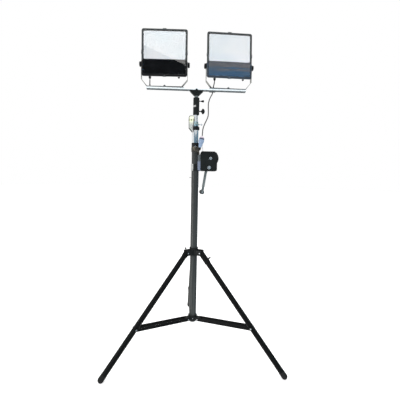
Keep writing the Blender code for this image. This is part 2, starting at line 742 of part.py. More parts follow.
def spigot_adapter(head):
    """The flared bracket under the bar, with the spigot that stands in the socket."""
    top, bottom, wide, narrow, edge = BAR_BOTTOM - GAP, 1.7000, 0.0435, 0.0118, 0.003
    outline = [(-wide, top), (-wide, top - edge), (-narrow, bottom), (narrow, bottom),
               (wide, top - edge), (wide, top)]
    made = plate("spigot_adapter", [outline], 0.026, head, "black_cast")
    spigot = rod("spigot", 0.0140, 0.072, (0, 0, 1.666), head, sides=24)
    tab = box("adapter_tab", (0.012, 0.003, 0.020), (0, -0.0160, 1.7355), head)
    foot_plate = box("adapter_foot", (0.014, 0.006, 0.010), (0, -0.0145, 1.7300), head)
    bolt = rod("adapter_bolt", 0.0042, 0.005, (0, -0.0195, 1.7415), head, axis="Y", sides=6)
    join(made, spigot, foot_plate, tab, bolt)


def yoke(name, frame):
    """A U strap bolted to the bar's top, its two arms ending beside the lamp's pivots."""
    base = STRAP / 2 + GAP
    flat, chamfer, pivot = 0.111, 0.044, PIVOT_HEIGHT - BAR_TOP
    top = pivot + 0.014
    half = [(flat, base), (YOKE_HALF, base + chamfer), (YOKE_HALF, top)]
    line = [(-x, z) for x, z in reversed(half)] + half
    strap = plate(f"{name}_yoke", [ribbon(line, STRAP)], 0.028, frame, "black_cast")
    for side in (-1, 1):
        hole = rod(f"{name}_arm_hole_{side}", 0.0055, 0.02, (side * YOKE_HALF, 0, pivot), frame,
                   axis="X", sides=16)
        cut(strap, hole)
    bolt = rod(f"{name}_yoke_bolt", 0.008, 0.006, (0, 0, base + STRAP / 2 + 0.0025), frame,
               sides=6)
    join(strap, bolt)


def lamp(name, tilt):
    """Bezel, glass, reflector and finned housing, in the frame of the lamp's pivots."""
    middle = LAMP_HEIGHT / 2 - PIVOT_UP
    rim, bezel_depth, bezel_place = 0.011, 0.012, -0.016
    outer = rounded(LAMP_WIDTH, LAMP_HEIGHT, 0.013, centre=(0, middle))
    window = rounded(LAMP_WIDTH - 2 * rim, LAMP_HEIGHT - 2 * rim, 0.009, centre=(0, middle))
    bezel = plate(f"{name}_bezel", [outer, window], bezel_depth, tilt, "black_cast",
                  location=(0, bezel_place, 0))
    side = LAMP_WIDTH / 2 - 0.0015
    lugs = [(0, middle + LAMP_HEIGHT / 2), (0, middle - LAMP_HEIGHT / 2), (side, middle),
            (-side, middle)]
    length, depth, height = 0.020, 0.010, 0.006
    for i, (x, z) in enumerate(lugs):
        size = (length, depth, height) if x == 0 else (height, depth, length)
        join(bezel, box(f"{name}_lug_{i}", size, (x, bezel_place, z), tilt, bevel=0.001))
    pane = rounded(LAMP_WIDTH - 2 * rim - 2 * GAP, LAMP_HEIGHT - 2 * rim - 2 * GAP, 0.0087,
                   centre=(0, middle))
    plate(f"{name}_glass", [pane], 0.004, tilt, "glass", location=(0, -0.0185, 0))
    plate(f"{name}_reflector", [pane], 0.005, tilt, "reflector", location=(0, -0.0135, 0))
    width, height, thickness = 0.271, 0.264, 0.036
    casting = rounded(width, height, 0.012, centre=(0, middle + 0.002))
    front = -0.0097
    housing = plate(f"{name}_housing", [casting], thickness, tilt, "black_cast",
                    location=(0, front + thickness / 2, 0))
    grooves, groove_width, pitch, depth = 11, 0.015, 0.023, 0.022
    for i in range(grooves):
        x = (i - (grooves - 1) / 2) * pitch
        groove = box(f"{name}_groove_{i}", (groove_width, depth, 0.210),
                     (x, front + thickness - depth / 2 + 0.001, middle + 0.005), tilt)
        cut(housing, groove)
    low, under = -PIVOT_UP, -0.0018  # the lamp's lower edge, and how far forward its fittings are
    gland = rod(f"{name}_gland", 0.0075, 0.034, (-0.093, under, low + 0.004), tilt, sides=16)
    vent = rod(f"{name}_vent", 0.006, 0.023, (0.092, under, low + 0.0095), tilt, sides=14)
    join(housing, gland, vent)


def side_knob(name, turning, side):
    """A round hand knob outside the yoke's arm, its stem through the arm."""
    profile = [(0, 0.0162), (0.013, 0.0162), (0.016, 0.0135), (0.016, 0.0065), (0.0145, 0.0048),
               (0.005, 0.0048), (0.005, 0), (0, 0)]
    turned(name, profile, turning, "black_plastic", rotation=(0, side * 90, 0), steps=16)


def lamps(head):
    for name, x in (("left", -LAMP_X), ("right", LAMP_X)):
        turn, lean = LAMP_POSE[name]
        swivel = empty(f"{name}_swivel", (x, 0, BAR_TOP), head, (0, 0, turn))
        yoke(name, swivel)
        tilt = empty(
            f"{name}_tilt", (0, 0, PIVOT_HEIGHT - BAR_TOP), swivel, (-lean, 0, 0)
        )
        lamp(name, tilt)
        for side, word in ((-1, "left"), (1, "right")):
            place = (side * (YOKE_HALF - KNOB_INSET), 0, PIVOT_HEIGHT - BAR_TOP)
            axis = empty(f"{name}_{word}_knob_axis", place, swivel)
            side_knob(f"{name}_lamp_{word}_knob", axis, side)


LEFT_LEAD = [(-0.2996, -0.0005, 1.7992), (-0.3000, 0.0030, 1.7900), (-0.3020, 0.0200, 1.7740),
             (-0.2990, 0.0252, 1.7570), (-0.2830, 0.0190, 1.7465), (-0.200, 0.0180, 1.7460),
             (-0.090, 0.0180, 1.7465), (0.020, 0.0180, 1.7460), (0.060, 0.0190, 1.7470),
             (0.0835, 0.0205, 1.7475)]
RIGHT_LEAD = [(0.1137, -0.0112, 1.8013), (0.1135, -0.0090, 1.7900), (0.1105, 0.0160, 1.7700),
              (0.1075, 0.0220, 1.7548)]
MAIN_LEAD = [(0.1060, 0.0215, 1.7370), (0.1055, 0.0205, 1.7335), (0.1035, 0.0140, 1.7240),
             (0.0930, -0.004, 1.7030), (0.0820, -0.022, 1.6760), (0.0750, -0.038, 1.6440),
             (0.0745, -0.050, 1.6050), (0.0735, -0.054, 1.5690), (0.0640, -0.055, 1.5420),
             (0.0520, -0.055, 1.5160), (0.0430, -0.055, 1.4900), (0.0400, -0.055, 1.4660),
             (0.0385, -0.055, 1.4420)]
PLUG_LEAN = 11.0


def leads(head):
    box("lead_junction", (0.040, 0.0140, 0.0140), (0.105, 0.0218, 1.7457), head,
        "black_plastic", bevel=0.002)
    wire("left_lead", smooth_route(LEFT_LEAD, LEAD_SPACING), LEAD_RADIUS, head, "cable")
    wire("right_lead", smooth_route(RIGHT_LEAD, LEAD_SPACING), LEAD_RADIUS, head, "cable")
    wire("main_lead", smooth_route(MAIN_LEAD, LEAD_SPACING), LEAD_RADIUS, head, "cable")
    tip = Vector(MAIN_LEAD[-1])
    profile = [(0, 0), (0.0115, 0), (0.012, -0.009), (0.016, -0.0092), (0.016, -0.018),
               (0.0175, -0.021), (0.0175, -0.031), (0.015, -0.050), (0.009, -0.078),
               (0.0075, -0.087), (0, -0.087)]
    turned("plug", profile, head, "plug_blue", location=tip - Vector((0, 0, 0.0042)),
           rotation=(0, PLUG_LEAN, 0))


# --- assembly --------------------------------------------------------------------------------


def build():
    stand = empty("stand", (0, MAST_Y, 0))
    tripod(stand)
    mast(stand)
    winch(stand)
    drum(empty("drum_frame", (DRUM_AXLE[0], 0, DRUM_AXLE[1]), stand))
    shaft = empty("crank_frame", (CRANK_AXLE[0], 0, CRANK_AXLE[1]), stand)
    tip = crank(shaft)
    crank_grip(empty("grip_frame", (tip[0], ARM_DEPTH + ARM / 2 + 0.0005, tip[1]), shaft))
    pulley("lower_pulley", 0.0115, 0.010, "steel",
           empty("lower_pulley_frame", (LOWER_PULLEY[0], 0, LOWER_PULLEY[1]), stand))
    lift = empty("middle_section", (0, 0, 0), stand)
    middle_section(lift)
    pulley("upper_pulley", 0.017, 0.013, "nylon",
           empty("upper_pulley_frame", (UPPER_PULLEY[0], 0, UPPER_PULLEY[1]), lift))
    lock_plunger(empty("plunger_frame", (0.0193, 0, PLUNGER_HEIGHT), lift))
    stage = empty("inner_section", (0, 0, 0), lift)
    inner_section(stage)
    spigot_screw(empty("spigot_screw_frame", (SOCKET_RADIUS + GAP, 0, SPIGOT_SCREW_HEIGHT), stage))
    socket_knob(empty("socket_knob_frame", (SOCKET_RADIUS + GAP, 0, SOCKET_KNOB_HEIGHT), stage))
    head = empty("head", (0, 0, 0), stage)
    crossbar(head)
    spigot_adapter(head)
    lamps(head)
    leads(head)


build()
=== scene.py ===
"""The looks of the twin LED work light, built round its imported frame. Units are metres."""

import json
import math

import bmesh
import bpy
from mathutils import Matrix, Vector


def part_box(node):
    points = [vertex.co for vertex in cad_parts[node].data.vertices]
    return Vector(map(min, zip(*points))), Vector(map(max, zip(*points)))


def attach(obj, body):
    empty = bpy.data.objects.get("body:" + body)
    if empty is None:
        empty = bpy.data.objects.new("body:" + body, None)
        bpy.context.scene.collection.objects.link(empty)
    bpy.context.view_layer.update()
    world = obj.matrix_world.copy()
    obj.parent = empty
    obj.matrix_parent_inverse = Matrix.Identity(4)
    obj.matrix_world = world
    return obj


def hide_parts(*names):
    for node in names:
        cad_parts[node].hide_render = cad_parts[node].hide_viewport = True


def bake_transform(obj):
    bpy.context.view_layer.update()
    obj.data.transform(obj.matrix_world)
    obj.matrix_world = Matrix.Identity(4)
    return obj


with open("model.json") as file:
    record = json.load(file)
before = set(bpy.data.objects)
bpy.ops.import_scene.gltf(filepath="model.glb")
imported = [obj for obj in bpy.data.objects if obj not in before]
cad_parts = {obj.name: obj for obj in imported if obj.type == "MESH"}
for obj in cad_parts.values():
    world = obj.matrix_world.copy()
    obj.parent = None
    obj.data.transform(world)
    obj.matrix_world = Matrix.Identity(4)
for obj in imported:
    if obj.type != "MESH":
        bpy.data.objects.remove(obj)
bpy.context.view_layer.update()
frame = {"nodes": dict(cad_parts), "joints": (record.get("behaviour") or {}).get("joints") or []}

JOINTS = {joint["name"]: joint for joint in frame["joints"]}


def middle(node):
    low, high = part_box(node)
    return (low + high) / 2


def extent(node):
    low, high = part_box(node)
    return high - low


def pivot(joint):
    return Vector(JOINTS[joint]["pos_m"])


def axis_of(joint):
    return Vector(JOINTS[joint]["axis"]).normalized()


MAST = Vector((middle("outer_tube").x, middle("outer_tube").y, 0))


def by_mast(x, y, z):
    """A place given from the mast's axis."""
    return MAST + Vector((x, y, z))


def mm(*points):
    """Points given in millimetres."""
    return [tuple(value / 1000 for value in point) for point in points]


def shift(place):
    return Matrix.Translation(Vector(place))


def along(place, direction, spin=0.0):
    """The frame at a place whose third axis points in a direction."""
    turn = Vector(direction).to_track_quat("Z", "Y").to_matrix().to_4x4()
    return shift(place) @ turn @ Matrix.Rotation(math.radians(spin), 4, "Z")


AT_MAST = shift(MAST)
UPRIGHT = Matrix.Rotation(math.radians(90), 4, "X")
FRONTWARD, RIGHTWARD = (0, -1, 0), (1, 0, 0)
SIDES = (("left", -1), ("right", 1))
ENDS = (("front", -1), ("back", 1))


# --- materials -------------------------------------------------------------------------------


def linear(colour):
    """An sRGB colour of 0 to 255 as the shader's linear one."""
    parts = [value / 255 for value in colour]
    return [c / 12.92 if c <= 0.04045 else ((c + 0.055) / 1.055) ** 2.4 for c in parts]


class Nodes:
    """A short hand for wiring one material's nodes."""

    def __init__(self, name):
        self.material = bpy.data.materials.new(name)
        self.material.use_nodes = True
        self.tree = self.material.node_tree
        self.shader = self.tree.nodes["Principled BSDF"]
        self.place = self.new("ShaderNodeTexCoord").outputs["Object"]
        self.world = self.new("ShaderNodeNewGeometry").outputs["Position"]

    def feed(self, node, inputs):
        """Links or sets a node's sockets; an underscore in a key stands for a space."""
        for key, value in inputs.items():
            socket = node.inputs[key.replace("_", " ")]
            if isinstance(value, bpy.types.NodeSocket):
                self.tree.links.new(value, socket)
            else:
                socket.default_value = value

    def new(self, kind, **inputs):
        node = self.tree.nodes.new(kind)
        self.feed(node, inputs)
        return node

    def set(self, **inputs):
        self.feed(self.shader, inputs)
        return self.material

    def noise(self, scale, stretch=(1, 1, 1), detail=3.0):
        where = self.new("ShaderNodeMapping", Vector=self.place, Scale=stretch).outputs[0]
        return self.new(
            "ShaderNodeTexNoise", Vector=where, Scale=scale, Detail=detail).outputs["Fac"]

    def ramp(self, factor, *stops):
        ramp = self.new("ShaderNodeValToRGB", Fac=factor)
        while len(ramp.color_ramp.elements) < len(stops):
            ramp.color_ramp.elements.new(0.5)
        for element, (position, colour) in zip(ramp.color_ramp.elements, stops):
            element.position = position
            element.color = (*colour, 1.0)
        return ramp.outputs["Color"]

    def shades(self, factor, *stops):
        return self.ramp(factor, *((at, linear(colour)) for at, colour in stops))

    def ranged(self, value, low, high, to_low=0.0, to_high=1.0):
        return self.new("ShaderNodeMapRange", Value=value, From_Min=low, From_Max=high,
            To_Min=to_low, To_Max=to_high).outputs["Result"]

    def spread(self, noise, low, high):
        return self.ranged(noise, 0.3, 0.7, low, high)

    def part(self, vector, axis):
        return self.new("ShaderNodeSeparateXYZ", Vector=vector).outputs[axis]

    def bump(self, height, distance, strength=0.5):
        node = self.new("ShaderNodeBump", Height=height, Strength=strength, Distance=distance)
        self.tree.links.new(node.outputs["Normal"], self.shader.inputs["Normal"])

    def math(self, operation, *values):
        node = self.tree.nodes.new("ShaderNodeMath")
        node.operation = operation
        for value, socket in zip(values, node.inputs):
            self.tree.links.new(value, socket)
        return node.outputs[0]


def finish(name, colour, roughness, metallic=0.0, vary=0.18, stretch=(1, 1, 1), grain=900,
        depth=0.00008, specular=0.5):
    """A surface whose shade, gloss and grain all vary: broad patches, fine streaks, fine bumps."""
    made = Nodes(name)
    base = Vector(linear(colour))
    shade = made.ramp(made.noise(14, stretch), (0.32, base * (1 - vary)), (0.5, base),
        (0.68, base * (1 + vary)))
    gloss = made.spread(made.noise(60, stretch, 4.0), roughness * 0.82, roughness * 1.2)
    made.bump(made.noise(grain, stretch, 2.0), depth)
    return made.set(Base_Color=shade, Roughness=gloss, Metallic=metallic,
        Specular_IOR_Level=specular)


def galvanised():
    """Zinc crystals a few millimetres across, with painted shade along the lower edge and, under
    the yokes, along the upper edge.
    """
    made = Nodes("galvanised")
    crystals = made.new("ShaderNodeTexVoronoi", Vector=made.place, Scale=170.0).outputs["Distance"]
    bright = made.shades(crystals, (0.0, (241, 244, 245)), (0.5, (231, 237, 238)),
        (1.0, (214, 224, 227)))
    low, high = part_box("crossbar")
    height = made.ranged(made.part(made.world, "Z"), low.z, high.z)
    # painted shade: the lower edge, and the upper edge where the yokes sit, turn to (74, 84, 88)
    below = made.ramp(height, (0.0, (1, 1, 1)), (0.12, (0.8, 0.8, 0.8)), (0.20, (0, 0, 0)))
    above = made.ramp(height, (0.68, (0, 0, 0)), (0.78, (0.85, 0.85, 0.85)))
    aside = made.math("ABSOLUTE", made.part(made.world, "X"))
    under_yokes = made.ramp(aside, (0.072, (0, 0, 0)), (0.086, (1, 1, 1)))
    painted_shade = made.math("MAXIMUM", below, made.math("MULTIPLY", above, under_yokes))
    mix = made.new("ShaderNodeMix")
    mix.data_type = "RGBA"
    made.tree.links.new(painted_shade, mix.inputs[0])
    made.tree.links.new(bright, mix.inputs[6])
    mix.inputs[7].default_value = (*linear((74, 84, 88)), 1.0)
    made.bump(made.noise(400), 0.00006)
    return made.set(Base_Color=mix.outputs[2], Roughness=made.spread(crystals, 0.30, 0.48),
        Metallic=0.40)


def anodised_mast():
    """Grey anodised tube with lengthwise drawing marks, darker towards its upper end."""
    made = Nodes("mast_grey")
    streaks = made.noise(90, (1, 1, 0.03), 5.0)
    shade = made.shades(streaks, (0.30, (50, 53, 52)), (0.5, (60, 63, 62)), (0.72, (73, 76, 74)))
    darker = made.ranged(made.part(made.place, "Z"), 0.75, 1.38, 1.0, 0.55)
    scaled = made.new("ShaderNodeVectorMath", Vector=shade)
    scaled.operation = "SCALE"
    made.tree.links.new(darker, scaled.inputs["Scale"])
    made.bump(streaks, 0.00006, 0.4)
    gloss = made.spread(made.noise(40, (1, 1, 0.2)), 0.36, 0.52)
    return made.set(Base_Color=scaled.outputs[0], Roughness=gloss, Metallic=0.35)


def zinc():
    """Blue passivated zinc, its tint drifting a little towards yellow."""
    made = Nodes("zinc")
    shade = made.shades(made.noise(45), (0.3, (128, 166, 184)), (0.52, (156, 186, 198)),
        (0.72, (186, 196, 178)))
    made.bump(made.noise(700), 0.00005)
    gloss = made.spread(made.noise(90), 0.24, 0.4)
    return made.set(Base_Color=shade, Roughness=gloss, Metallic=0.85)


def window_glass():
    made = Nodes("glass")
    smears = made.spread(made.noise(9, (1, 1, 3)), 0.0, 0.012)
    tint = made.shades(made.noise(5), (0.3, (246, 250, 251)), (0.7, (255, 255, 255)))
    return made.set(Base_Color=tint, Roughness=smears, Transmission_Weight=1.0, IOR=1.48)


def strap_webbing():
    """Dark polyester webbing: a diagonal weave over a faded colour."""
    made = Nodes("webbing")
    weave = made.new("ShaderNodeTexWave", Vector=made.place, Scale=260.0, Distortion=0.6)
    weave.bands_direction = "DIAGONAL"
    shade = made.shades(made.noise(55), (0.3, (28, 27, 25)), (0.55, (52, 50, 44)),
        (0.75, (96, 90, 76)))
    made.bump(weave.outputs["Fac"], 0.0003, 0.8)
    return made.set(Base_Color=shade, Roughness=0.85)


def faded(name, heights, colours, grain, depth, gloss, patches, in_world=True, **sockets):
    """A surface whose colour turns into another as the height runs over a range."""
    made = Nodes(name)
    height = made.ranged(made.part(made.world if in_world else made.place, "Z"), *heights)
    shade = made.shades(height, *zip((0.0, 1.0), colours))
    made.bump(made.noise(grain), depth)
    rough = made.spread(made.noise(*patches), *gloss)
    return made.set(Base_Color=shade, Roughness=rough, **sockets)


def yoke_paint():
    """Worn grey paint, darker along the strap that lies on the bar."""
    bar_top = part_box("crossbar")[1].z
    return faded("yoke_grey", (bar_top + 0.006, bar_top + 0.022),
        ((44, 47, 47), (134, 134, 130)), 900, 0.00008, (0.34, 0.5), (60, (1, 1, 1), 4.0),
        Metallic=0.2, Specular_IOR_Level=0.3)


def bezel_paint_with_painted_reflection(name, lower):
    """Black paint whose lower part, beside the printed band, carries a painted reflection in the
    given lower colour.
    """
    return faded(name, (1.908, 1.918), (lower, (54, 57, 58)), 1100, 0.00007, (0.31, 0.45),
        (60, (1, 1, 1), 4.0), in_world=False, Specular_IOR_Level=0.2)


def reflector_with_painted_glow():
    """The lamps' white reflector, with a faint painted glow that brightens it."""
    made = Nodes("reflector")
    shade = made.shades(made.noise(14), (0.32, (244, 246, 249)), (0.68, (249, 251, 254)))
    made.bump(made.noise(900), 0.00003)
    return made.set(Base_Color=shade, Roughness=made.spread(made.noise(60), 0.42, 0.6),
        Emission_Color=(0.95, 0.98, 1.0, 1.0), Emission_Strength=0.015)


LENGTHWISE = (1, 1, 0.05)
PAINT = dict(vary=0.22, grain=1100, depth=0.00007)
FINISHES = {
    "black_leg": ((15, 16, 16), 0.42, dict(stretch=(1, 1, 0.3), specular=0.07, **PAINT)),
    "black_cast": ((24, 27, 27), 0.46, dict(specular=0.12, **PAINT)),
    # painted shade: the pulley bracket's edges, darker than its light faces of the same zinc
    "bracket_edge_painted_shade": ((52, 56, 52), 0.45, dict(metallic=0.2, vary=0.12)),
    "black_plastic": ((20, 21, 22), 0.40, dict(grain=1500, specular=0.2)),
    "ink": ((12, 13, 15), 0.60, dict(vary=0.1, specular=0.0)),
    "rubber": ((26, 26, 26), 0.78, dict(grain=700, depth=0.00015, specular=0.25)),
    "chrome": ((214, 220, 224), 0.10, dict(metallic=1.0, vary=0.03, stretch=LENGTHWISE,
        grain=300, depth=0.00001)),
    "steel": ((188, 190, 191), 0.30, dict(metallic=0.9, vary=0.12, grain=1200)),
    "bracket_steel": ((168, 170, 167), 0.40, dict(metallic=0.4, vary=0.14)),
    "pulley_cap": ((214, 218, 176), 0.45, dict(vary=0.1)),
    "nylon": ((236, 236, 210), 0.45, dict(vary=0.06)),
    "pulley_rim": ((96, 100, 74), 0.5, dict(vary=0.15)),
    "arm_grey": ((116, 124, 124), 0.38, dict(metallic=0.35, vary=0.16)),
    "led": ((246, 244, 226), 0.35, dict(vary=0.03)),
    "cable": ((62, 60, 58), 0.6, dict(vary=0.2, grain=600)),
    "plug_blue": ((122, 142, 168), 0.42, dict(vary=0.12)),
    "plug_nut": ((190, 176, 189), 0.45, dict(vary=0.05)),
    "plug_ring": ((70, 75, 96), 0.45, dict(vary=0.12)),
    "label": ((148, 148, 147), 0.5, dict(vary=0.05)),
}
MATERIALS = {name: finish(name, colour, roughness, **more)
    for name, (colour, roughness, more) in FINISHES.items()}
MATERIALS |= {
    "mast_grey": anodised_mast(),
    "galvanised": galvanised(),
    "zinc": zinc(),
    "glass": window_glass(),
    "webbing": strap_webbing(),
    "reflector": reflector_with_painted_glow(),
    "yoke_grey": yoke_paint(),
    # the bezels' lower colours are painted reflections: dark on the left lamp, blue-grey on the
    # right
    "bezel_left": bezel_paint_with_painted_reflection("bezel_left", (14, 15, 16)),
    "bezel_right": bezel_paint_with_painted_reflection("bezel_right", (44, 54, 64)),
    # the winch's carrying plate: bluish zinc, with painted shade from the winch cover at its upper
    # end
    "arm_plate": faded("arm_plate", (1.276, 1.292), ((118, 127, 146), (84, 90, 93)), 1000, 0.00006,
        (0.34, 0.5), (50, (1, 1, 0.3)), Metallic=0.3),
    # the upper pulley's cheeks: yellow passivated round the axle, plain zinc below
    "bracket_face": faded("bracket_face", (1.522, 1.548), ((168, 172, 168), (226, 230, 206)), 1000,
        0.00005, (0.36, 0.46), (50,), Metallic=0.1),
}


# --- shapes ----------------------------------------------------------------------------------


def linked(name, data):
    """A new object of the scene."""
    thing = bpy.data.objects.new(name, data)
    bpy.context.scene.collection.objects.link(thing)
    return thing


def mesh_of(name, shape):
    mesh = bpy.data.meshes.new(name)
    shape.to_mesh(mesh)
    shape.free()
    return mesh


def finished(name, shape, place, colour, crease=35.0):
    """The object made of a shape at a place, its points in the whole object's frame."""
    bmesh.ops.transform(shape, matrix=place, verts=shape.verts)
    bmesh.ops.remove_doubles(shape, verts=shape.verts, dist=0.0000005)
    bmesh.ops.recalc_face_normals(shape, faces=shape.faces)
    mesh = mesh_of(name, shape)
    mesh.materials.append(MATERIALS[colour])
    mesh.shade_smooth()
    mesh.set_sharp_from_angle(angle=math.radians(crease))
    return linked(name, mesh)


def bridge(name, rings, place, colour, closed=False, crease=35.0, capped=True):
    """A skin over rings of points: its ends joined to each other, capped by faces, or left open."""
    shape = bmesh.new()
    rows = [[shape.verts.new(point) for point in ring] for ring in rings]
    for a, b in list(zip(rows, rows[1:])) + ([(rows[-1], rows[0])] if closed else []):
        for i in range(len(a)):
            j = (i + 1) % len(a)
            shape.faces.new((a[i], a[j], b[j], b[i]))
    if capped and not closed:
        shape.faces.new(rows[0])
        shape.faces.new(rows[-1])
    return finished(name, shape, place, colour, crease)


def soften(profile, radius, closed):
    """The same line with each corner rounded."""
    points = [Vector(p) for p in profile]
    made = []
    for i, corner in enumerate(points):
        if not closed and i in (0, len(points) - 1):
            made.append(corner)
            continue
        before, after = points[i - 1] - corner, points[(i + 1) % len(points)] - corner
        reach = min(radius, before.length * 0.45, after.length * 0.45)
        start, end = corner + before.normalized() * reach, corner + after.normalized() * reach
        for t in (0.0, 0.33, 0.67, 1.0):
            made.append(start * (1 - t) ** 2 + corner * 2 * t * (1 - t) + end * t**2)
    return made


def lathe(name, profile, place, colour, steps=48, edge=0.0006, radius_at=None, crease=35.0):
    """A turned shape of (radius, height) points. One that starts off the axis is a ring."""
    ring_like = profile[0][0] > 0
    angles = [2 * math.pi * step / steps for step in range(steps)]
    rings = []
    for radius, height in soften(profile, edge, ring_like):
        reach = [radius_at(radius, height, a) if radius_at else radius for a in angles]
        rings.append([(r * math.cos(a), r * math.sin(a), height) for r, a in zip(reach, angles)])
    return bridge(name, rings, place, colour, ring_like, crease, capped=False)


def block(name, size, place, colour, edge=0.001):
    shape = bmesh.new()
    bmesh.ops.create_cube(shape, size=1.0)
    bmesh.ops.scale(shape, vec=size, verts=shape.verts)
    bmesh.ops.bevel(shape, geom=shape.edges[:], offset=edge, segments=3, affect="EDGES",
        profile=0.5)
    return finished(name, shape, place, colour)


def arc(centre, radius, start, end, count):
    angles = [math.radians(start + (end - start) * i / count) for i in range(count + 1)]
    return [(centre[0] + radius * math.cos(a), centre[1] + radius * math.sin(a)) for a in angles]


def rounded(width, height, radius, centre=(0, 0), count=8):
    points = []
    for sx, sy, start in ((1, 1, 0), (-1, 1, 90), (-1, -1, 180), (1, -1, 270)):
        corner = (centre[0] + sx * (width / 2 - radius), centre[1] + sy * (height / 2 - radius))
        points += arc(corner, radius, start, start + 90, count)
    return points


def both_sides(half):
    """An outline that mirrors its right half."""
    return [(-x, z) for x, z in reversed(half)] + half


def corners(x, z):
    return [(side * x, end * z) for side in (-1, 1) for end in (-1, 1)]


def slab(name, outlines, thickness, place, colour, edge=0.0005):
    """A flat outline, with holes as further outlines, standing in x and z, its edges rounded."""
    curve = bpy.data.curves.new(name, "CURVE")
    curve.dimensions, curve.fill_mode = "2D", "BOTH"
    curve.extrude, curve.offset = thickness / 2 - edge, -edge
    curve.bevel_depth, curve.bevel_resolution = edge, 2
    for outline in outlines:
        spline = curve.splines.new("POLY")
        spline.points.add(len(outline) - 1)
        for point, (x, y) in zip(spline.points, outline):
            point.co = (x, y, 0, 1)
        spline.use_cyclic_u = True
    guide = linked(name + "_guide", curve)
    graph = bpy.context.evaluated_depsgraph_get()
    mesh = bpy.data.meshes.new_from_object(guide.evaluated_get(graph))
    bpy.data.objects.remove(guide, do_unlink=True)
    shape = bmesh.new()
    shape.from_mesh(mesh)
    bpy.data.meshes.remove(mesh)
    return finished(name, shape, place @ UPRIGHT, colour)


def sweep(name, points, radius, colour, lobes=0, twist=0.012, sides=16):
    """A round cord along points. With lobes it is a laid rope, one turn in each twist."""
    line = [Vector(p) for p in points]
    forward = (line[1] - line[0]).normalized()
    side = forward.orthogonal().normalized()
    rings, walked = [], 0.0
    for i, point in enumerate(line):
        ahead = line[min(i + 1, len(line) - 1)] - line[max(i - 1, 0)]
        side = (side - ahead.normalized() * side.dot(ahead.normalized())).normalized()
        up = ahead.normalized().cross(side)
        if i:
            walked += (point - line[i - 1]).length
        turn = 2 * math.pi * walked / twist if lobes else 0.0
        ring = []
        for k in range(sides):
            angle = 2 * math.pi * k / sides
            reach = radius * (0.9 + 0.1 * math.cos(lobes * angle)) if lobes else radius
            ring.append(point + (side * math.cos(angle + turn) + up * math.sin(angle + turn))
                * reach)
        rings.append(ring)
    return bridge(name, rings, Matrix.Identity(4), colour)


def merged(name, pieces):
    """Several pieces as one object, each face keeping its material."""
    with bpy.context.temp_override(active_object=pieces[0], selected_editable_objects=pieces):
        bpy.ops.object.join()
    pieces[0].name = name
    return pieces[0]


def hex_bolt(name, place, radius, height, colour="steel"):
    """A hexagon head on its washer, pointing along the place's third axis."""
    washer = lathe(name, [(0, 0.0012), (radius * 1.25, 0.0012), (radius * 1.25, 0), (0, 0)], place,
        colour, 32, 0.0003)
    top = 0.0012 + height
    head = lathe(name + "_head", [(0, top), (radius * 0.85, top), (radius, top - radius * 0.12),
        (radius, 0.0011), (0, 0.0011)], place, colour, 6, 0.0002, crease=20)
    return merged(name, [washer, head])


def rivet(name, place, radius, height, colour="steel"):
    dome = [(radius * math.cos(a), height * math.sin(a)) for a in (math.radians(90 - 15 * i)
        for i in range(7))]
    dome[0] = (0, height)
    return lathe(name, dome + [(0, 0)], place, colour, 24, 0.0001, crease=60)


def screw_head(name, place, radius, colour="steel"):
    """A pan head with a socket in it."""
    head = [(0, 0.0004), (radius * 0.28, 0.0005), (radius * 0.34, 0.0016), (radius * 0.75, 0.0015),
        (radius, 0.0006), (radius, 0), (0, 0)]
    return lathe(name, head, place, colour, 24, 0.0002)


def fluted(count, depth, low, high):
    """A radius that dips count times round, between two heights."""
    def reach(radius, height, angle):
        if low < height < high and radius > 0.5 * depth:
            return radius - depth * max(0.0, math.cos(count * angle)) ** 2
        return radius
    return reach


def ride(piece, body, slot=None, *replaced):
    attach(piece, body)
    if replaced:
        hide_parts(*replaced)


def keep(node, colour, edge=0.0005, angle=40.0):
    """A CAD node that stays: it gets its material, rounded edges and smooth round faces."""
    thing = frame["nodes"][node]
    thing.data.materials.clear()
    thing.data.materials.append(MATERIALS[colour])
    thing.modifiers.new("weld", "WELD").merge_threshold = 0.000002
    rounding = thing.modifiers.new("edges", "BEVEL")
    rounding.width, rounding.segments = edge, 2
    rounding.limit_method, rounding.angle_limit = "ANGLE", math.radians(angle)
    rounding.harden_normals = False
    thing.data.shade_smooth()


# --- the cords -------------------------------------------------------------------------------

LEAD_DIAMETER = 0.0065
PLUG_LEAN = 11.0  # degrees
TIE = 20  # the step of a lamp's lead at which its yoke holds it
LEFT_LEAD = mm((-299.6, -0.5, 1799.2), (-300, 3, 1790), (-302, 20, 1774), (-299, 25.2, 1757),
    (-283, 19, 1746.5), (-200, 18, 1746), (-90, 18, 1746.5), (20, 18, 1746), (60, 19, 1747),
    (83.5, 20.5, 1747.5))
RIGHT_LEAD = mm((113.7, -11.2, 1801.3), (113.5, -9, 1790), (110.5, 16, 1770), (107.5, 22, 1754.8))
MAIN_LEAD = mm((106, 21.5, 1737), (105.5, 20.5, 1733.5), (103.5, 14, 1724), (93, -4, 1703),
    (82, -22, 1676), (75, -38, 1644), (74.5, -50, 1605), (73.5, -54, 1569), (64, -55, 1542),
    (52, -55, 1516), (43, -55, 1490), (40, -55, 1466), (38.5, -55, 1442))


def smooth(route, count=10):
    """A Catmull-Rom curve through the route, in the frame of the whole object."""
    line = [by_mast(*p) for p in route]
    line = [2 * line[0] - line[1]] + line + [2 * line[-1] - line[-2]]
    made = []
    for a, b, c, d in zip(line, line[1:], line[2:], line[3:]):
        for step in range(count):
            t = step / count
            made.append(0.5 * (2 * b + (c - a) * t + (2 * a - 5 * b + 4 * c - d) * t**2
                + (3 * b - a - 3 * c + d) * t**3))
    made.append(line[-2])
    return made


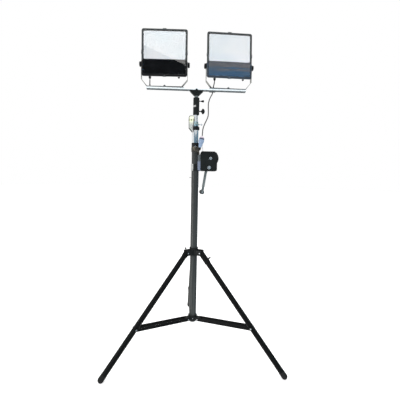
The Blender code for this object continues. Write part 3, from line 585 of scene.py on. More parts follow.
def lamp_lead(name, route):
    """A lamp's lead in two pieces that meet at a tie on the yoke."""
    points, strap = smooth(route), f"{name}_yoke"
    upper = sweep(f"{name}_lead_upper", points[: TIE + 1], LEAD_DIAMETER / 2, "cable")
    lower = sweep(f"{name}_lead_lower", points[TIE:], LEAD_DIAMETER / 2, "cable")
    for piece in (upper, lower):
        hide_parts(f"{name}_lead")
    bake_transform(upper)
    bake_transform(lower)
    place = along(points[TIE], points[TIE + 1] - points[TIE - 1])
    ring = mm((3, 2.5), (4.2, 2.5), (4.2, -2.5), (3, -2.5))
    ride(lathe(f"{name}_lead_tie", ring, place, "black_plastic", 32, 0.0003), strap,
        "black_plastic")


def plug():
    """The plug on the main lead: hexagon gland nut, dark ring, ribbed tapering body, dark nose."""
    top = by_mast(*MAIN_LEAD[-1]) - Vector((0, 0, 0.0042))
    place = shift(top) @ Matrix.Rotation(math.radians(PLUG_LEAN), 4, "Y")
    made = [
        lathe("plug_nut", mm((0, 0), (10.5, 0), (11.8, -1.6), (11.8, -9.2), (0, -9.2)), place,
            "plug_nut", 12, 0.0004, crease=20),
        lathe("plug_ring", mm((0, -9), (15.8, -9.2), (16, -10.8), (16, -18), (0, -18.2)), place,
            "plug_ring", 64, 0.0006, fluted(24, 0.0010, -0.0180, -0.0095)),
        lathe("plug_body", mm((0, -18), (16, -18), (17.4, -21), (17.4, -31), (15.6, -39),
            (14.4, -43), (13.4, -44), (12.8, -50), (10, -62), (8.4, -70), (0, -70)), place,
            "plug_blue", 64, 0.0010, fluted(10, 0.0006, -0.042, -0.022)),
        lathe("plug_nose", mm((0, -69.9), (8, -70), (7.6, -78), (6.8, -86.8), (5, -87), (4.6, -82),
            (0, -82)), place, "black_plastic", 48, 0.0006)]
    ride(made[0], "head", "plug_blue", "plug")
    for piece in made[1:]:
        ride(piece, "head", "plug_blue")
    return made


def main_lead():
    points = smooth(MAIN_LEAD, 5)
    curve = bpy.data.curves.new("main_lead_cable", "CURVE")
    curve.dimensions, curve.use_fill_caps = "3D", True
    curve.bevel_depth, curve.bevel_resolution = LEAD_DIAMETER / 2, 4
    spline = curve.splines.new("POLY")
    spline.points.add(len(points) - 1)
    for point, place in zip(spline.points, points):
        point.co = (*place, 1)
    spline.use_smooth = True
    curve.materials.append(MATERIALS["cable"])
    cable = linked("main_lead_cable", curve)
    ride(cable, "head", "cable", "main_lead")
    plug()


def camera():
    """Eye height, distance and lens as solved from the picture of the real object."""
    data = bpy.data.cameras.new("camera")
    data.lens, data.sensor_width, data.shift_x = 24.22, 36.0, 0.0136
    eye = linked("camera", data)
    place = shift(by_mast(-0.0936, -1.7856, 1.1644))
    for degrees, axis in ((-3.0, "Z"), (90 - 4.3, "X"), (1.03, "Z")):
        place = place @ Matrix.Rotation(math.radians(degrees), 4, axis)
    eye.matrix_world = place
    bpy.context.scene.camera = eye


# --- lamps -----------------------------------------------------------------------------------

LAMP_LEAN = {"left": 1.25, "right": 4.3}  # degrees back from upright, at rest
LAMP_WIDTH, LAMP_HEIGHT = 0.290, 0.290
PIVOT_UP = 0.0775  # the pivots' height above the lamp's lower edge
LAMP_MIDDLE = LAMP_HEIGHT / 2 - PIVOT_UP
RIM = 0.011
WINDOW_SIDE, WINDOW_TOP, BAND_HEIGHT = 0.0020, 0.0030, 0.093
FACE = -0.022  # the lamp's front, from its pivots


def lamp_frame(name):
    """x across, y towards the back, z up, at the middle of the lamp's pivots."""
    across = axis_of(f"{name}_lamp_tilt")
    turn = math.atan2(across.y, across.x)
    return (shift(pivot(f"{name}_lamp_tilt")) @ Matrix.Rotation(turn, 4, "Z")
        @ Matrix.Rotation(math.radians(-LAMP_LEAN[name]), 4, "X"))


def ring_at(width, height, radius, y, lift=0.0):
    outline = rounded(width, height, max(radius, 0.0004), (0, LAMP_MIDDLE + lift))
    return [(x, y, z) for x, z in outline]


def front_of(place):
    return along(place.translation, -place.col[1].xyz)


def back_of(place):
    return along(place.translation, place.col[1].xyz)


def bezel(name, place):
    """A cast frame with a sloping front, lugs on its sides and a screw in each corner."""
    steps = mm((0, -10), (0, -17.8), (0.6, -19.2), (2.6, -21.2), (4, -21.9), (8, -21.9),
        (9.6, -21.4)) + [(RIM, -0.0200), (RIM, -0.0100)]
    rings = [ring_at(LAMP_WIDTH - 2 * inset, LAMP_HEIGHT - 2 * inset, 0.013 - inset * 0.35, y)
        for inset, y in steps]
    parts = [bridge(f"{name}_frame", rings, place, f"bezel_{name}", closed=True, crease=50)]
    side, rise = LAMP_WIDTH / 2 - 0.0012, LAMP_HEIGHT / 2
    for x, z in ((0, rise), (0, -rise), (side, 0), (-side, 0)):
        size = (0.0060, 0.0105, 0.021) if x else (0.021, 0.0105, 0.0058)
        lug = place @ shift((x, -0.0160, LAMP_MIDDLE + z))
        parts.append(block(f"{name}_lug", size, lug, f"bezel_{name}", 0.0012))
        spot = front_of(lug @ shift((0, -0.0053, 0)))
        parts.append(screw_head(f"{name}_lug_screw", spot, 0.0024))
    for x, z in corners(LAMP_WIDTH / 2 - 0.0075, LAMP_HEIGHT / 2 - 0.0075):
        spot = front_of(place @ shift((x, -0.0219, LAMP_MIDDLE + z)))
        parts.append(screw_head(f"{name}_corner_screw", spot, 0.0026, "black_plastic"))
    ride(merged(f"{name}_bezel_casting", parts), f"{name}_lamp", "black_alloy", f"{name}_bezel")


def pane(name, place):
    width, height = LAMP_WIDTH - 2 * RIM - 0.0006, LAMP_HEIGHT - 2 * RIM - 0.0006
    steps = mm((0.4, -16.5), (0, -16.9), (0, -20.1), (0.4, -20.5))
    rings = [ring_at(width - 2 * inset, height - 2 * inset, 0.0087, y) for inset, y in steps]
    ride(bridge(f"{name}_window", rings, place, "glass"), f"{name}_lamp", "glass", f"{name}_glass")
    clear = rounded(width - 2 * WINDOW_SIDE, height - BAND_HEIGHT - WINDOW_TOP, 0.008,
        (0, LAMP_MIDDLE + (BAND_HEIGHT - WINDOW_TOP) / 2))
    outline = rounded(width - 0.0004, height - 0.0004, 0.0085, (0, LAMP_MIDDLE))
    ride(slab(f"{name}_printed_border", [outline, clear], 0.0003, place @ shift((0, -0.01625, 0)),
        "ink", 0.0001), f"{name}_lamp", "glass")


def light_board(name, place):
    """The white tray behind the glass: sloping sides, a flat board and rows of small LEDs."""
    width, height = LAMP_WIDTH - 2 * RIM - 0.0010, LAMP_HEIGHT - 2 * RIM - 0.0010
    window, lift = height - BAND_HEIGHT, 0.0425
    tray = [(width, height, 0.008, -0.0112), (width, height, 0.008, -0.0158)]
    tray += [(width - less - 0.002, window - less, radius, y, lift) for less, radius, y in (
        (0.004, 0.010, -0.0158), (0.020, 0.008, -0.0128), (0.024, 0.006, -0.0128),
        (0.025, 0.006, -0.0122))]
    board = bridge(f"{name}_tray", [ring_at(*step) for step in tray], place, "reflector",
        crease=25)
    columns, rows, pitch = 14, 8, 0.0165
    shape = bmesh.new()
    for column in range(columns):
        for row in range(rows):
            x = (column - (columns - 1) / 2) * pitch
            z = LAMP_MIDDLE + lift + (row - (rows - 1) / 2) * pitch
            made = bmesh.ops.create_cube(shape, size=1.0)["verts"]
            bmesh.ops.scale(shape, vec=(0.0035, 0.0010, 0.0035), verts=made)
            bmesh.ops.translate(shape, vec=(x, -0.0127, z), verts=made)
    leds = finished(f"{name}_leds", shape, place, "led")
    ride(merged(f"{name}_light_board", [board, leds]), f"{name}_lamp", "reflector",
        f"{name}_reflector")


def heat_sink(name, place):
    """The cast back: a tapered shell with upright fins and the driver's cover."""
    width, height = 0.271, 0.264
    rings = [ring_at(width - 2 * inset, height - 2 * inset, 0.012, y, 0.002)
        for inset, y in mm((0, -9.7), (0, 1), (1.5, 3), (6, 4.4))]
    parts = [bridge(f"{name}_shell", rings, place, "black_cast")]
    fins, pitch = 15, 0.0165
    low, high = LAMP_MIDDLE - 0.030, LAMP_MIDDLE + 0.002 + height / 2 - 0.012
    profile = soften([(0.004, low), (0.0210, low + 0.004), (0.0225, low + 0.016),
        (0.0225, high - 0.034), (0.0150, high - 0.010), (0.004, high)], 0.006, True)
    for fin in range(fins):
        x = (fin - (fins - 1) / 2) * pitch
        sideways = place @ shift((x, 0, 0)) @ Matrix.Rotation(math.radians(90), 4, "Z")
        parts.append(slab(f"{name}_fin_{fin}", [profile], 0.0022, sideways, "black_cast", 0.0007))
    cover = place @ shift((0, 0.0135, LAMP_MIDDLE - 0.081))
    parts.append(block(f"{name}_driver_cover", (0.226, 0.0225, 0.082), cover, "black_cast", 0.005))
    for x, z in corners(0.103, 0.031):
        spot = back_of(cover @ shift((x, 0.0112, z)))
        parts.append(screw_head(f"{name}_cover_screw", spot, 0.0032))
    ride(merged(f"{name}_heat_sink", parts), f"{name}_lamp", "black_alloy", f"{name}_housing")


def glands(name, place):
    """The lead's gland and the vent plug under the lamp."""
    down = (place.to_3x3() @ Vector((0, 0, -1))).normalized()
    spot, vent = (along(place @ Vector((x, -0.0018, 0.0005 - PIVOT_UP)), down)
        for x in (-0.093, 0.092))
    nut = lathe(f"{name}_gland_nut", mm((0, 0), (8.6, 0), (8.6, 5), (0, 5)), spot,
        "black_plastic", 6, 0.0005, crease=20)
    dome = lathe(f"{name}_gland_dome", mm((0, 5), (7, 5), (7.2, 9), (6.2, 11.8), (4, 13.4),
        (0, 13.4)), spot, "black_plastic", 48, 0.0006, fluted(12, 0.0005, 0.0055, 0.0100))
    ride(merged(f"{name}_gland", [nut, dome]), f"{name}_lamp", "black_plastic")
    ride(lathe(f"{name}_vent_plug", mm((0, 0), (6.6, 0), (6.6, 3), (5.4, 3.4), (5.2, 6.2), (4, 7),
        (0, 7)), vent, "black_plastic", 48, 0.0004, fluted(10, 0.0005, -0.001, 0.0032)),
        f"{name}_lamp", "black_plastic")


def yoke(name):
    """The U strap with its bolt, and the two fluted side knobs on their washers."""
    strap = f"{name}_yoke"
    keep(strap, "yoke_grey", 0.0007)
    post = along(pivot(f"{strap}_swivel") + Vector((0, 0, 0.0084)), (0, 0, 1))
    ride(hex_bolt(f"{strap}_nut", post, 0.0062, 0.0042), strap, "steel")
    for side, _ in SIDES:
        knob = f"{name}_lamp_{side}_knob"
        out, inner = axis_of(knob + "_turn"), pivot(knob + "_turn")
        turn = Matrix.Rotation(math.atan2(out.y, out.x), 4, "Z")
        ride(block(f"{knob}_arm_sleeve", (0.0036, 0.0290, 0.0340),
            shift(inner) @ turn @ shift((0.00275, 0, -0.0028)), "black_plastic", 0.0008), strap,
            "black_cast")
        place = along(inner, out)
        ride(lathe(f"{knob}_grip", mm((0, 16.2), (6, 16.2), (6.6, 15.4), (11.8, 16), (16, 13.5),
            (16, 6.6), (14.5, 4.8), (0, 4.8)), place, "black_plastic", 72, 0.0010,
            fluted(12, 0.0013, 0.0055, 0.0145)), knob, "black_plastic", knob)
        ride(lathe(f"{knob}_washer", mm((4.2, 4.8), (10, 4.8), (10, 4.6), (4.2, 4.6)), place,
            "steel", 32, 0.0001), knob, "steel")


def lamps():
    for name in LAMP_LEAN:
        place = lamp_frame(name)
        for part in (bezel, pane, light_board, heat_sink, glands):
            part(name, place)
        yoke(name)
    lamp_lead("left", LEFT_LEAD)
    lamp_lead("right", RIGHT_LEAD)


# --- head and upper mast -----------------------------------------------------------------------


def crossbar():
    keep("crossbar", "galvanised", 0.0006)
    low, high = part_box("crossbar")
    keep("lead_junction", "black_plastic", 0.0008)
    for side, x in SIDES:
        spot = along(by_mast(0.066 * x, -0.0095, low.z + 0.0002), (0, 0, -1))
        ride(hex_bolt(f"bar_screw_{side}", spot, 0.0036, 0.0026, "black_plastic"), "head",
            "black_plastic")
        cap = by_mast(x * (extent("crossbar").x / 2 - 0.0011), 0, (low.z + high.z) / 2)
        ride(block(f"bar_end_{side}", (0.0015, 0.0230, 0.0100), shift(cap), "black_plastic",
            0.0004), "head", "black_plastic")


def adapter():
    """The flared bracket with cast pockets, its clamp tab, bolt and polished neck."""
    top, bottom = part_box("crossbar")[0].z - 0.0003, 1.7040
    flare = soften(both_sides([(0.0128, bottom), (0.0435, top - 0.0040), (0.0435, top)]), 0.004,
        True)
    pocket = soften(both_sides([(0.0100, bottom + 0.0070), (0.0300, top - 0.0090),
        (0.0350, top - 0.0040)]), 0.003, True)
    parts = [slab("adapter_web", [flare], 0.0200, AT_MAST, "black_cast", 0.0012)]
    for side in (-1, 1):
        parts.append(slab(f"adapter_rim_{side}", [flare, pocket], 0.0034,
            AT_MAST @ shift((0, side * 0.0113, 0)), "black_cast", 0.0010))
    parts.append(block("adapter_tab", (0.0120, 0.0034, 0.0200), shift(by_mast(0, -0.0162, 1.7355)),
        "black_cast", 0.0010))
    ride(merged("adapter_bracket", parts), "head", "black_cast", "spigot_adapter")
    ride(lathe("adapter_neck", mm((0, 1704.5), (11.8, 1704.5), (11.8, 1699), (10.4, 1697.5),
        (10.4, 1694.5), (14, 1692.5), (14, 1631), (0, 1630)), AT_MAST, "arm_grey", 64, 0.0006),
        "head", "steel")
    ride(hex_bolt("adapter_clamp_bolt", along(by_mast(0, -0.0178, 1.7415), FRONTWARD), 0.0041,
        0.0028, "black_cast"), "head", "black_cast")


def socket():
    """The dark sleeve with its label, its two bosses, the spigot's thumb screw and the knob."""
    low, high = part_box("top_socket")
    outside, bore = extent("top_socket").x / 2, 0.0143
    profile = [(bore, high.z), (outside - 0.0014, high.z), (outside, high.z - 0.0018),
        (outside, low.z + 0.0018), (outside - 0.0014, low.z), (0.0128, low.z), (0.0128, 1.6235),
        (bore, 1.6235)]
    ride(lathe("socket_sleeve", profile, AT_MAST, "black_cast", 72, 0.0008), "inner_section",
        "black_cast", "top_socket")
    columns, low, high = 14, 1.6318, 1.6432
    rings = []
    for i in range(columns + 1):
        angle = math.radians(-165 + 66 * i / columns)
        rings.append([(radius * math.cos(angle), radius * math.sin(angle), z) for radius, z in (
            (outside - 0.0004, low), (outside - 0.0004, high), (outside + 0.00035, high),
            (outside + 0.00035, low))])
    ride(bridge("socket_label", rings, AT_MAST, "label"), "inner_section", "steel")
    screw, knob = (along(pivot(joint), RIGHTWARD) for joint in ("spigot_screw_turn",
        "socket_knob_turn"))
    for name, place, size, steps in (("spigot_screw", screw, 4.6, 32),
            ("socket_knob", knob, 6, 6)):
        ride(lathe(name + "_boss", mm((0, 0.8), (size, 0.8), (size, -1), (0, -1)), place,
            "black_cast", steps, 0.0003, crease=20), "inner_section", "black_cast")
    ride(lathe("spigot_thumb_screw", mm((0, 29.5), (5.2, 29.5), (7, 27), (7, 22), (3.4, 11),
        (2.6, 9), (2.6, 0), (0, 0)), screw, "black_plastic", 48, 0.0010,
        fluted(10, 0.0007, 0.0200, 0.0285)), "spigot_screw", "black_plastic", "spigot_screw")
    ride(lathe("socket_clamp_knob", mm((0, 37), (7.5, 34.5), (13, 31.5), (16.8, 27.5), (18, 23.5),
        (16.5, 19.5), (8, 15), (6, 12), (3.4, 10), (3.4, 0), (0, 0)), knob, "black_plastic", 72,
        0.0020, fluted(9, 0.0016, 0.0180, 0.0290)), "socket_knob", "black_plastic", "socket_knob")


def groove_ring(name, radius, width, colour, rim, slot):
    """A rope pulley: sheave, darker rims, hub with a bore."""
    place, half = shift(pivot(name + "_spin")) @ UPRIGHT, width / 2
    upper = [(0.0033, half - 0.0003), (radius - 0.0030, half - 0.0003),
        (radius - 0.0012, half - 0.0014), (radius - 0.0042, 0.0012)]
    sheave = upper + [(reach, -height) for reach, height in reversed(upper)]
    parts = [lathe(name + "_sheave", sheave, place, colour, 64, 0.0006)]
    for side in (-1, 1):
        ring = [(radius - 0.0046, side * half), (radius, side * (half - 0.0004)),
            (radius, side * (half - 0.0016)), (radius - 0.0046, side * (half - 0.0020))]
        parts.append(lathe(f"{name}_rim_{side}", ring, place, rim, 64, 0.0003))
    ride(merged(name + "_wheel", parts), name, slot, name)


def upper_mast():
    """The three tube sections, the wiper ring with its boss, the collar with its plunger."""
    for node, body, colour, steps in (("inner_tube", "inner_section", "chrome", 64),
            ("middle_tube", "middle_section", "chrome", 64),
            ("outer_tube", "mast", "mast_grey", 72)):
        low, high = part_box(node)
        radius = (high.x - low.x) / 2
        bore = radius - 0.002
        tube = [(bore, high.z), (radius, high.z), (radius, low.z), (bore, low.z)]
        ride(lathe(node.replace("tube", "section_tube"), tube, AT_MAST, colour, steps), body,
            colour, node)
    low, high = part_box("wiper_ring")
    ring = lathe("wiper", [(0.0178, high.z), (0.0186, high.z), (0.0195, high.z - 0.004),
        (0.0195, low.z + 0.004), (0.0186, low.z), (0.0178, low.z)], AT_MAST, "black_plastic", 64,
        0.0008)
    boss = block("wiper_boss", (0.0050, 0.0120, 0.0180), shift(by_mast(0.0208, 0, 1.498)),
        "black_plastic", 0.0014)
    ride(merged("wiper_with_boss", [ring, boss]), "middle_section", "black_plastic", "wiper_ring")
    low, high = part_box("middle_collar")
    side = [(radius, high.z - down) for radius, down in mm((12.8, 0), (14, 0), (15.5, 1.8),
        (15.5, 7), (14.8, 7.8), (14.8, 9.4), (15.5, 10.2))]
    collar = lathe("plunger_collar", side + [(0.0155, low.z), (0.0128, low.z)], AT_MAST, "zinc",
        64, 0.0005)
    height = middle("lock_plunger").z
    boss = lathe("plunger_boss", mm((0, 5.2), (5, 5.2), (6, 4.4), (6, 0), (0, 0)),
        along(by_mast(0.0140, 0, height), RIGHTWARD), "zinc", 6, 0.0005, crease=20)
    ride(merged("zinc_collar", [collar, boss]), "middle_section", "zinc", "middle_collar")
    ride(lathe("plunger_knob", mm((0, 22.5), (3.6, 22.5), (5, 20.8), (5, 12.5), (3.6, 10), (3, 7),
        (3, 0), (0, 0)), along(by_mast(0.0193, 0, height), RIGHTWARD), "chrome", 64, 0.0006,
        fluted(20, 0.0004, 0.0120, 0.0210)), "plunger", "chrome", "lock_plunger")


def pulleys():
    """The upper pulley in its yellow bracket, with cap, nuts and rivets, and the lower pulley."""
    # the bracket's edges carry painted shade; its faces are the light slabs below
    keep("pulley_bracket", "bracket_edge_painted_shade", 0.0004)
    pin = pivot("upper_pulley_spin")
    face = arc((-0.0335, 1.5640), 0.0100, 90, 180, 8) + mm((-43.7, 1501), (-23.8, 1478.5),
        (-22.8, 1514.9), (-17.9, 1516.4), (-17.9, 1544.2), (-15.1, 1546.2), (-15.1, 1572.2),
        (-18.2, 1574))
    for word, side in ENDS:
        ride(slab(f"bracket_face_{word}", [face], 0.0006, AT_MAST @ shift((0, side * 0.0105, 0)),
            "bracket_face", 0.0002), "middle_section", "steel")
    ride(lathe("upper_pulley_cap", mm((4, 0.8), (9.2, 0.8), (10, 0), (4, 0)),
        along(pin + Vector((0, -0.0103, 0)), FRONTWARD), "pulley_cap", 40, 0.0002),
        "middle_section", "nylon")
    for word, side in SIDES:
        ride(block(f"bracket_stop_{word}", (0.0034, 0.0006, 0.0150),
            shift(pin + Vector((side * 0.0128, -0.0112, 0))), "pulley_rim", 0.0002),
            "middle_section", "steel")
    groove_ring("upper_pulley", 0.0170, 0.0130, "nylon", "pulley_rim", "nylon")
    for word, side in ENDS:
        spot = along(pin + Vector((0, side * 0.0104, 0)), (0, side, 0))
        ride(hex_bolt(f"upper_axle_nut_{word}", spot, 0.0042, 0.0020), "middle_section", "steel")
        spot = along(by_mast(-0.0290, side * 0.0104, 1.5010), (0, side, 0))
        ride(rivet(f"bracket_rivet_{word}", spot, 0.0032, 0.0012), "middle_section", "steel")
    groove_ring("lower_pulley", 0.0115, 0.0100, "steel", "steel", "steel")


def ropes():
    low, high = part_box("stage_rope")
    x, count = (low.x + high.x) / 2, 40
    points = [(x, MAST.y, low.z + (high.z - low.z) * i / count) for i in range(count + 1)]
    rope = sweep("stage_wire_rope", points, 0.0014, "steel", lobes=6)
    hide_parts("stage_rope")
    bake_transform(rope)
    drum, low_pin = pivot("drum_spin"), pivot("lower_pulley_spin")
    route = [drum + Vector((-0.0240, -0.006, 0.004)),
        Vector((MAST.x + 0.0490, MAST.y - 0.003, 1.352))]
    route += [Vector((x, MAST.y, z)) for x, z in arc((low_pin.x, low_pin.z), 0.0108, 10, 150, 16)]
    fine = []
    for a, b in zip(route, route[1:]):
        parts = max(1, round((b - a).length / 0.002))
        fine += [a.lerp(b, i / parts) for i in range(parts)]
    fine.append(route[-1])
    ride(sweep("lift_wire_rope", fine, 0.0013, "steel", lobes=6), "mast", "steel", "lift_rope")


def mast_head():
    """The plastic collar and pulley cheeks on the mast's top, and the lower pulley's axle."""
    top = extent("outer_tube").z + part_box("outer_tube")[0].z
    side = [(radius, top + up) for radius, up in mm((17.8, 6), (24.9, 6), (26.2, 4.2),
        (26.2, -28.5), (25.5, -30), (24.3, -30), (24.3, 0.3), (17.8, 0.3))]
    parts = [lathe("mast_top_ring", side, AT_MAST, "black_plastic", 72, 0.0008)]
    outline = rounded(0.0170, 0.0460, 0.0045, (0.0335, 1.408))
    for side in (-1, 1):
        parts.append(slab(f"mast_cheek_{side}", [outline], 0.0025,
            AT_MAST @ shift((0, side * 0.0078, 0)), "black_plastic", 0.0005))
    ride(merged("mast_top_collar", parts), "mast", "black_plastic", "mast_collar")
    half = mm((0, 10.8), (3.6, 10.8), (4.4, 9.8), (4.4, 9), (2.9, 9))
    axle = half + [(radius, -height) for radius, height in reversed(half)]
    ride(lathe("lower_axle", axle, along(pivot("lower_pulley_spin"), (0, 1, 0)), "steel", 32,
        0.0003), "mast", "steel")


def webbing(name, points, width, thickness=0.0014):
    """A flat strap along points given with the direction its face looks in."""
    outline = ((-1, -0.6), (-0.96, -1), (0.96, -1), (1, -0.6), (1, 0.6), (0.96, 1), (-0.96, 1),
        (-1, 0.6))
    rings = []
    for i, (point, out) in enumerate(points):
        ahead = points[min(i + 1, len(points) - 1)][0] - points[max(i - 1, 0)][0]
        out = Vector(out).normalized()
        across = ahead.normalized().cross(out).normalized()
        rings.append([point + across * a * width / 2 + out * b * thickness / 2
            for a, b in outline])
    ride(bridge(name, rings, Matrix.Identity(4), "webbing"), "mast", "rubber")


def mast_strap():
    """Two turns of strap under the mast's top ring, with a slack end and a steel ring."""
    turns, count, low = 2.2, 90, 1.3500
    points = []
    for i in range(count + 1):
        share = i / count
        angle = math.radians(-100) + turns * 2 * math.pi * share
        radius = 0.0252 + 0.0016 * share + 0.0006 * math.sin(5 * angle)
        out = Vector((math.cos(angle), math.sin(angle), 0))
        rise = low + 0.020 * share + 0.0020 * math.sin(angle * 1.3)
        points.append((by_mast(out.x * radius, out.y * radius, rise), out))
    webbing("mast_strap_turns", points, 0.0190)
    tail = smooth(mm((-4, -28.2, 1378), (0, -29.2, 1370), (5, -28.8, 1360), (12, -28.2, 1352),
        (19, -27.8, 1342), (21.5, -28.2, 1330)), 6)
    webbing("mast_strap_tail", [(point, (0.1, -1, 0)) for point in tail], 0.0110)
    angles = [2 * math.pi * i / 10 for i in range(10)]
    ring = [(0.0052 + 0.0009 * math.cos(a), 0.0009 * math.sin(a)) for a in angles]
    ride(lathe("strap_ring", ring, along(by_mast(-0.003, -0.0294, 1.3790), (0.2, -1, 0.25)),
        "steel", 40, 0.0001), "mast", "steel")


# --- winch -------------------------------------------------------------------------------------


def clamp():
    """The dark ring round the mast, its bright closing block and the arm that holds the winch."""
    low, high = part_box("winch_bracket")
    ride(lathe("clamp_ring", mm((24.4, 1266.8), (26.6, 1266.8), (27.2, 1265.5), (27.2, 1225.5),
        (26.6, 1224.2), (24.4, 1224.2)), AT_MAST, "black_cast", 72, 0.0006), "mast", "steel",
        "winch_bracket")
    aside = Matrix.Rotation(math.radians(38), 4, "Z")
    ride(block("clamp_block", (0.0050, 0.0200, 0.0430),
        shift(by_mast(0, 0, 1.2455)) @ aside @ shift((-0.0262, 0, 0)), "bracket_steel", 0.0010),
        "mast", "steel")
    height, centre = high.z - low.z, (low.z + high.z) / 2
    arm = block("clamp_arm", (0.0110, 0.0260, height),
        shift(by_mast(high.x - MAST.x - 0.0055, 0, centre)), "arm_plate", 0.0008)
    flange = block("clamp_flange", (0.0190, 0.0030, height - 0.010),
        shift(by_mast(high.x - MAST.x - 0.0095, -0.0240, centre)), "arm_plate", 0.0008)
    ride(merged("clamp_arm_plates", [arm, flange]), "mast", "steel")
    for name, z in (("upper", 1.2570), ("lower", 1.2340)):
        spot = shift(by_mast(0, 0, z)) @ aside @ Vector((-0.0287, 0, 0))
        out = aside @ Vector((-1, 0, 0))
        ride(hex_bolt(f"clamp_nut_{name}", along(spot, out), 0.0040, 0.0022), "mast", "steel")


def winch():
    keep("winch_cover", "black_cast", 0.0014, 50)
    keep("winch_back_plate", "black_cast", 0.0006)
    clamp()
    keep("crank_shaft", "steel", 0.0003)
    keep("rope_drum", "steel", 0.0004)
    keep("drum_gear", "steel", 0.0002)
    drum, shaft = pivot("drum_spin"), pivot("crank_turn")
    for name, at, body, radius in (("drum", drum, "mast", 0.0101),
            ("crank", shaft, "crank", 0.0111)):
        face = Vector((at.x, MAST.y - 0.0345, at.z))
        ride(lathe(f"{name}_axle_disc", [(0, 0.0006), (0.0034, 0.0006), (0.0042, 0.0012),
            (0.0058, 0.0012), (0.0064, 0.0005), (radius - 0.0010, 0.0004),
            (radius + 0.0004, -0.0008), (radius + 0.0004, -0.0039), (0, -0.0039)],
            along(face, (0, -1, 0)), "steel", 64, 0.0004), body, "steel")
    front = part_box("winch_cover")[0].y
    for i, (x, z) in enumerate(((0.041, 1.2300), (0.134, 1.2300), (0.041, 1.3420),
            (0.136, 1.3400))):
        spot = along(Vector((MAST.x + x, front, z)), (0, -1, 0))
        ride(screw_head(f"cover_screw_{i}", spot, 0.0026, "black_plastic"), "mast", "black_cast")
        spot = along(Vector((MAST.x + x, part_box("winch_back_plate")[1].y, z)), (0, 1, 0))
        ride(screw_head(f"back_screw_{i}", spot, 0.0030), "mast", "steel")
    ride(hex_bolt("crank_nut", along(Vector((shaft.x, MAST.y + 0.0394, shaft.z)), (0, 1, 0)),
        0.0080, 0.0048), "crank", "steel")
    above_collar = 1.1785  # the leg collar's top comes to 1.174 at the end of its travel
    ride(lathe("mast_stud", mm((0, 11.8), (2, 11.8), (2.8, 10.8), (2.8, 7.4), (0.9, 6.6), (0.9, 0),
        (0, 0)), along(by_mast(-0.0239, 0, above_collar), (-1, 0, 0)), "mast_grey", 24, 0.0003),
        "mast", "mast_grey")


def crank():
    """The arm with its rounded edges, end boss and turning grip."""
    keep("crank_arm", "arm_grey", 0.0009)
    tip, depth = pivot("grip_spin"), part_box("crank_grip")[0].y
    ride(lathe("crank_arm_cap", mm((0, 1.6), (4, 1.4), (5.2, 0.4), (5.2, 0), (0, 0)),
        along(Vector((tip.x, MAST.y + 0.0340, tip.z)), (0, -1, 0)), "steel", 48, 0.0004), "crank",
        "steel")
    profile = mm((4.3, 0), (13.3, 0), (15.3, 3), (14.6, 12), (14.1, 22), (14.5, 40), (15.1, 55),
        (17, 69), (16.4, 77), (12.5, 81.5), (4.3, 83))
    grip = lathe("crank_hand_grip", profile, along(Vector((tip.x, depth, tip.z)), (0, 1, 0)),
        "black_plastic", 72, 0.0030, fluted(14, 0.0007, 0.0080, 0.0640))
    end = lathe("crank_grip_end", mm((0, 82.6), (5, 82.6), (5, 78), (0, 78)),
        along(Vector((tip.x, depth, tip.z)), (0, 1, 0)), "black_plastic", 32, 0.0006)
    ride(merged("crank_grip_moulding", [grip, end]), "grip", "black_plastic", "crank_grip")


# --- tripod ------------------------------------------------------------------------------------

FOOT_REACH, FOOT_HEIGHT = 0.616, 0.0166  # of each foot's ball, which the floor cuts
LEGS = {"left": "left_leg", "back": "back_leg", "level": "level_sleeve"}
LEG_RADIUS, LEG_HEAD, EAR_OUTSIDE, FOOT_RADIUS = 0.0170, 0.0192, 0.0236, 0.01785
BRACE_JOINT = 0.636  # the share of a leg's length at which its brace joins


def leg_geometry(name):
    """The leg's top pivot, the direction down the leg, the pivot's axis and the leg's length."""
    top, across = pivot(f"{name}_leg_fold"), axis_of(f"{name}_leg_fold")
    outward = Vector((top.x - MAST.x, top.y - MAST.y, 0)).normalized()
    tip = MAST + outward * FOOT_REACH + Vector((0, 0, FOOT_HEIGHT))
    return top, (tip - top).normalized(), across, (tip - top).length


def leg_frame(top, down, across):
    """Third axis up the leg, second along the pivot."""
    up = -down
    first = across.cross(up).normalized()
    return Matrix(((first.x, across.x, up.x, top.x), (first.y, across.y, up.y, top.y),
        (first.z, across.z, up.z, top.z), (0, 0, 0, 1)))


def pivot_bolts(name, place, reach, body, radius=0.0050):
    """A rivet head on each end of a pivot pin."""
    for side in (-1, 1):
        at = place @ Vector((0, side * reach, 0))
        out = (place.to_3x3() @ Vector((0, side, 0))).normalized()
        ride(rivet(f"{name}_{'in' if side < 0 else 'out'}", along(at, out), radius, 0.0022), body,
            "steel")


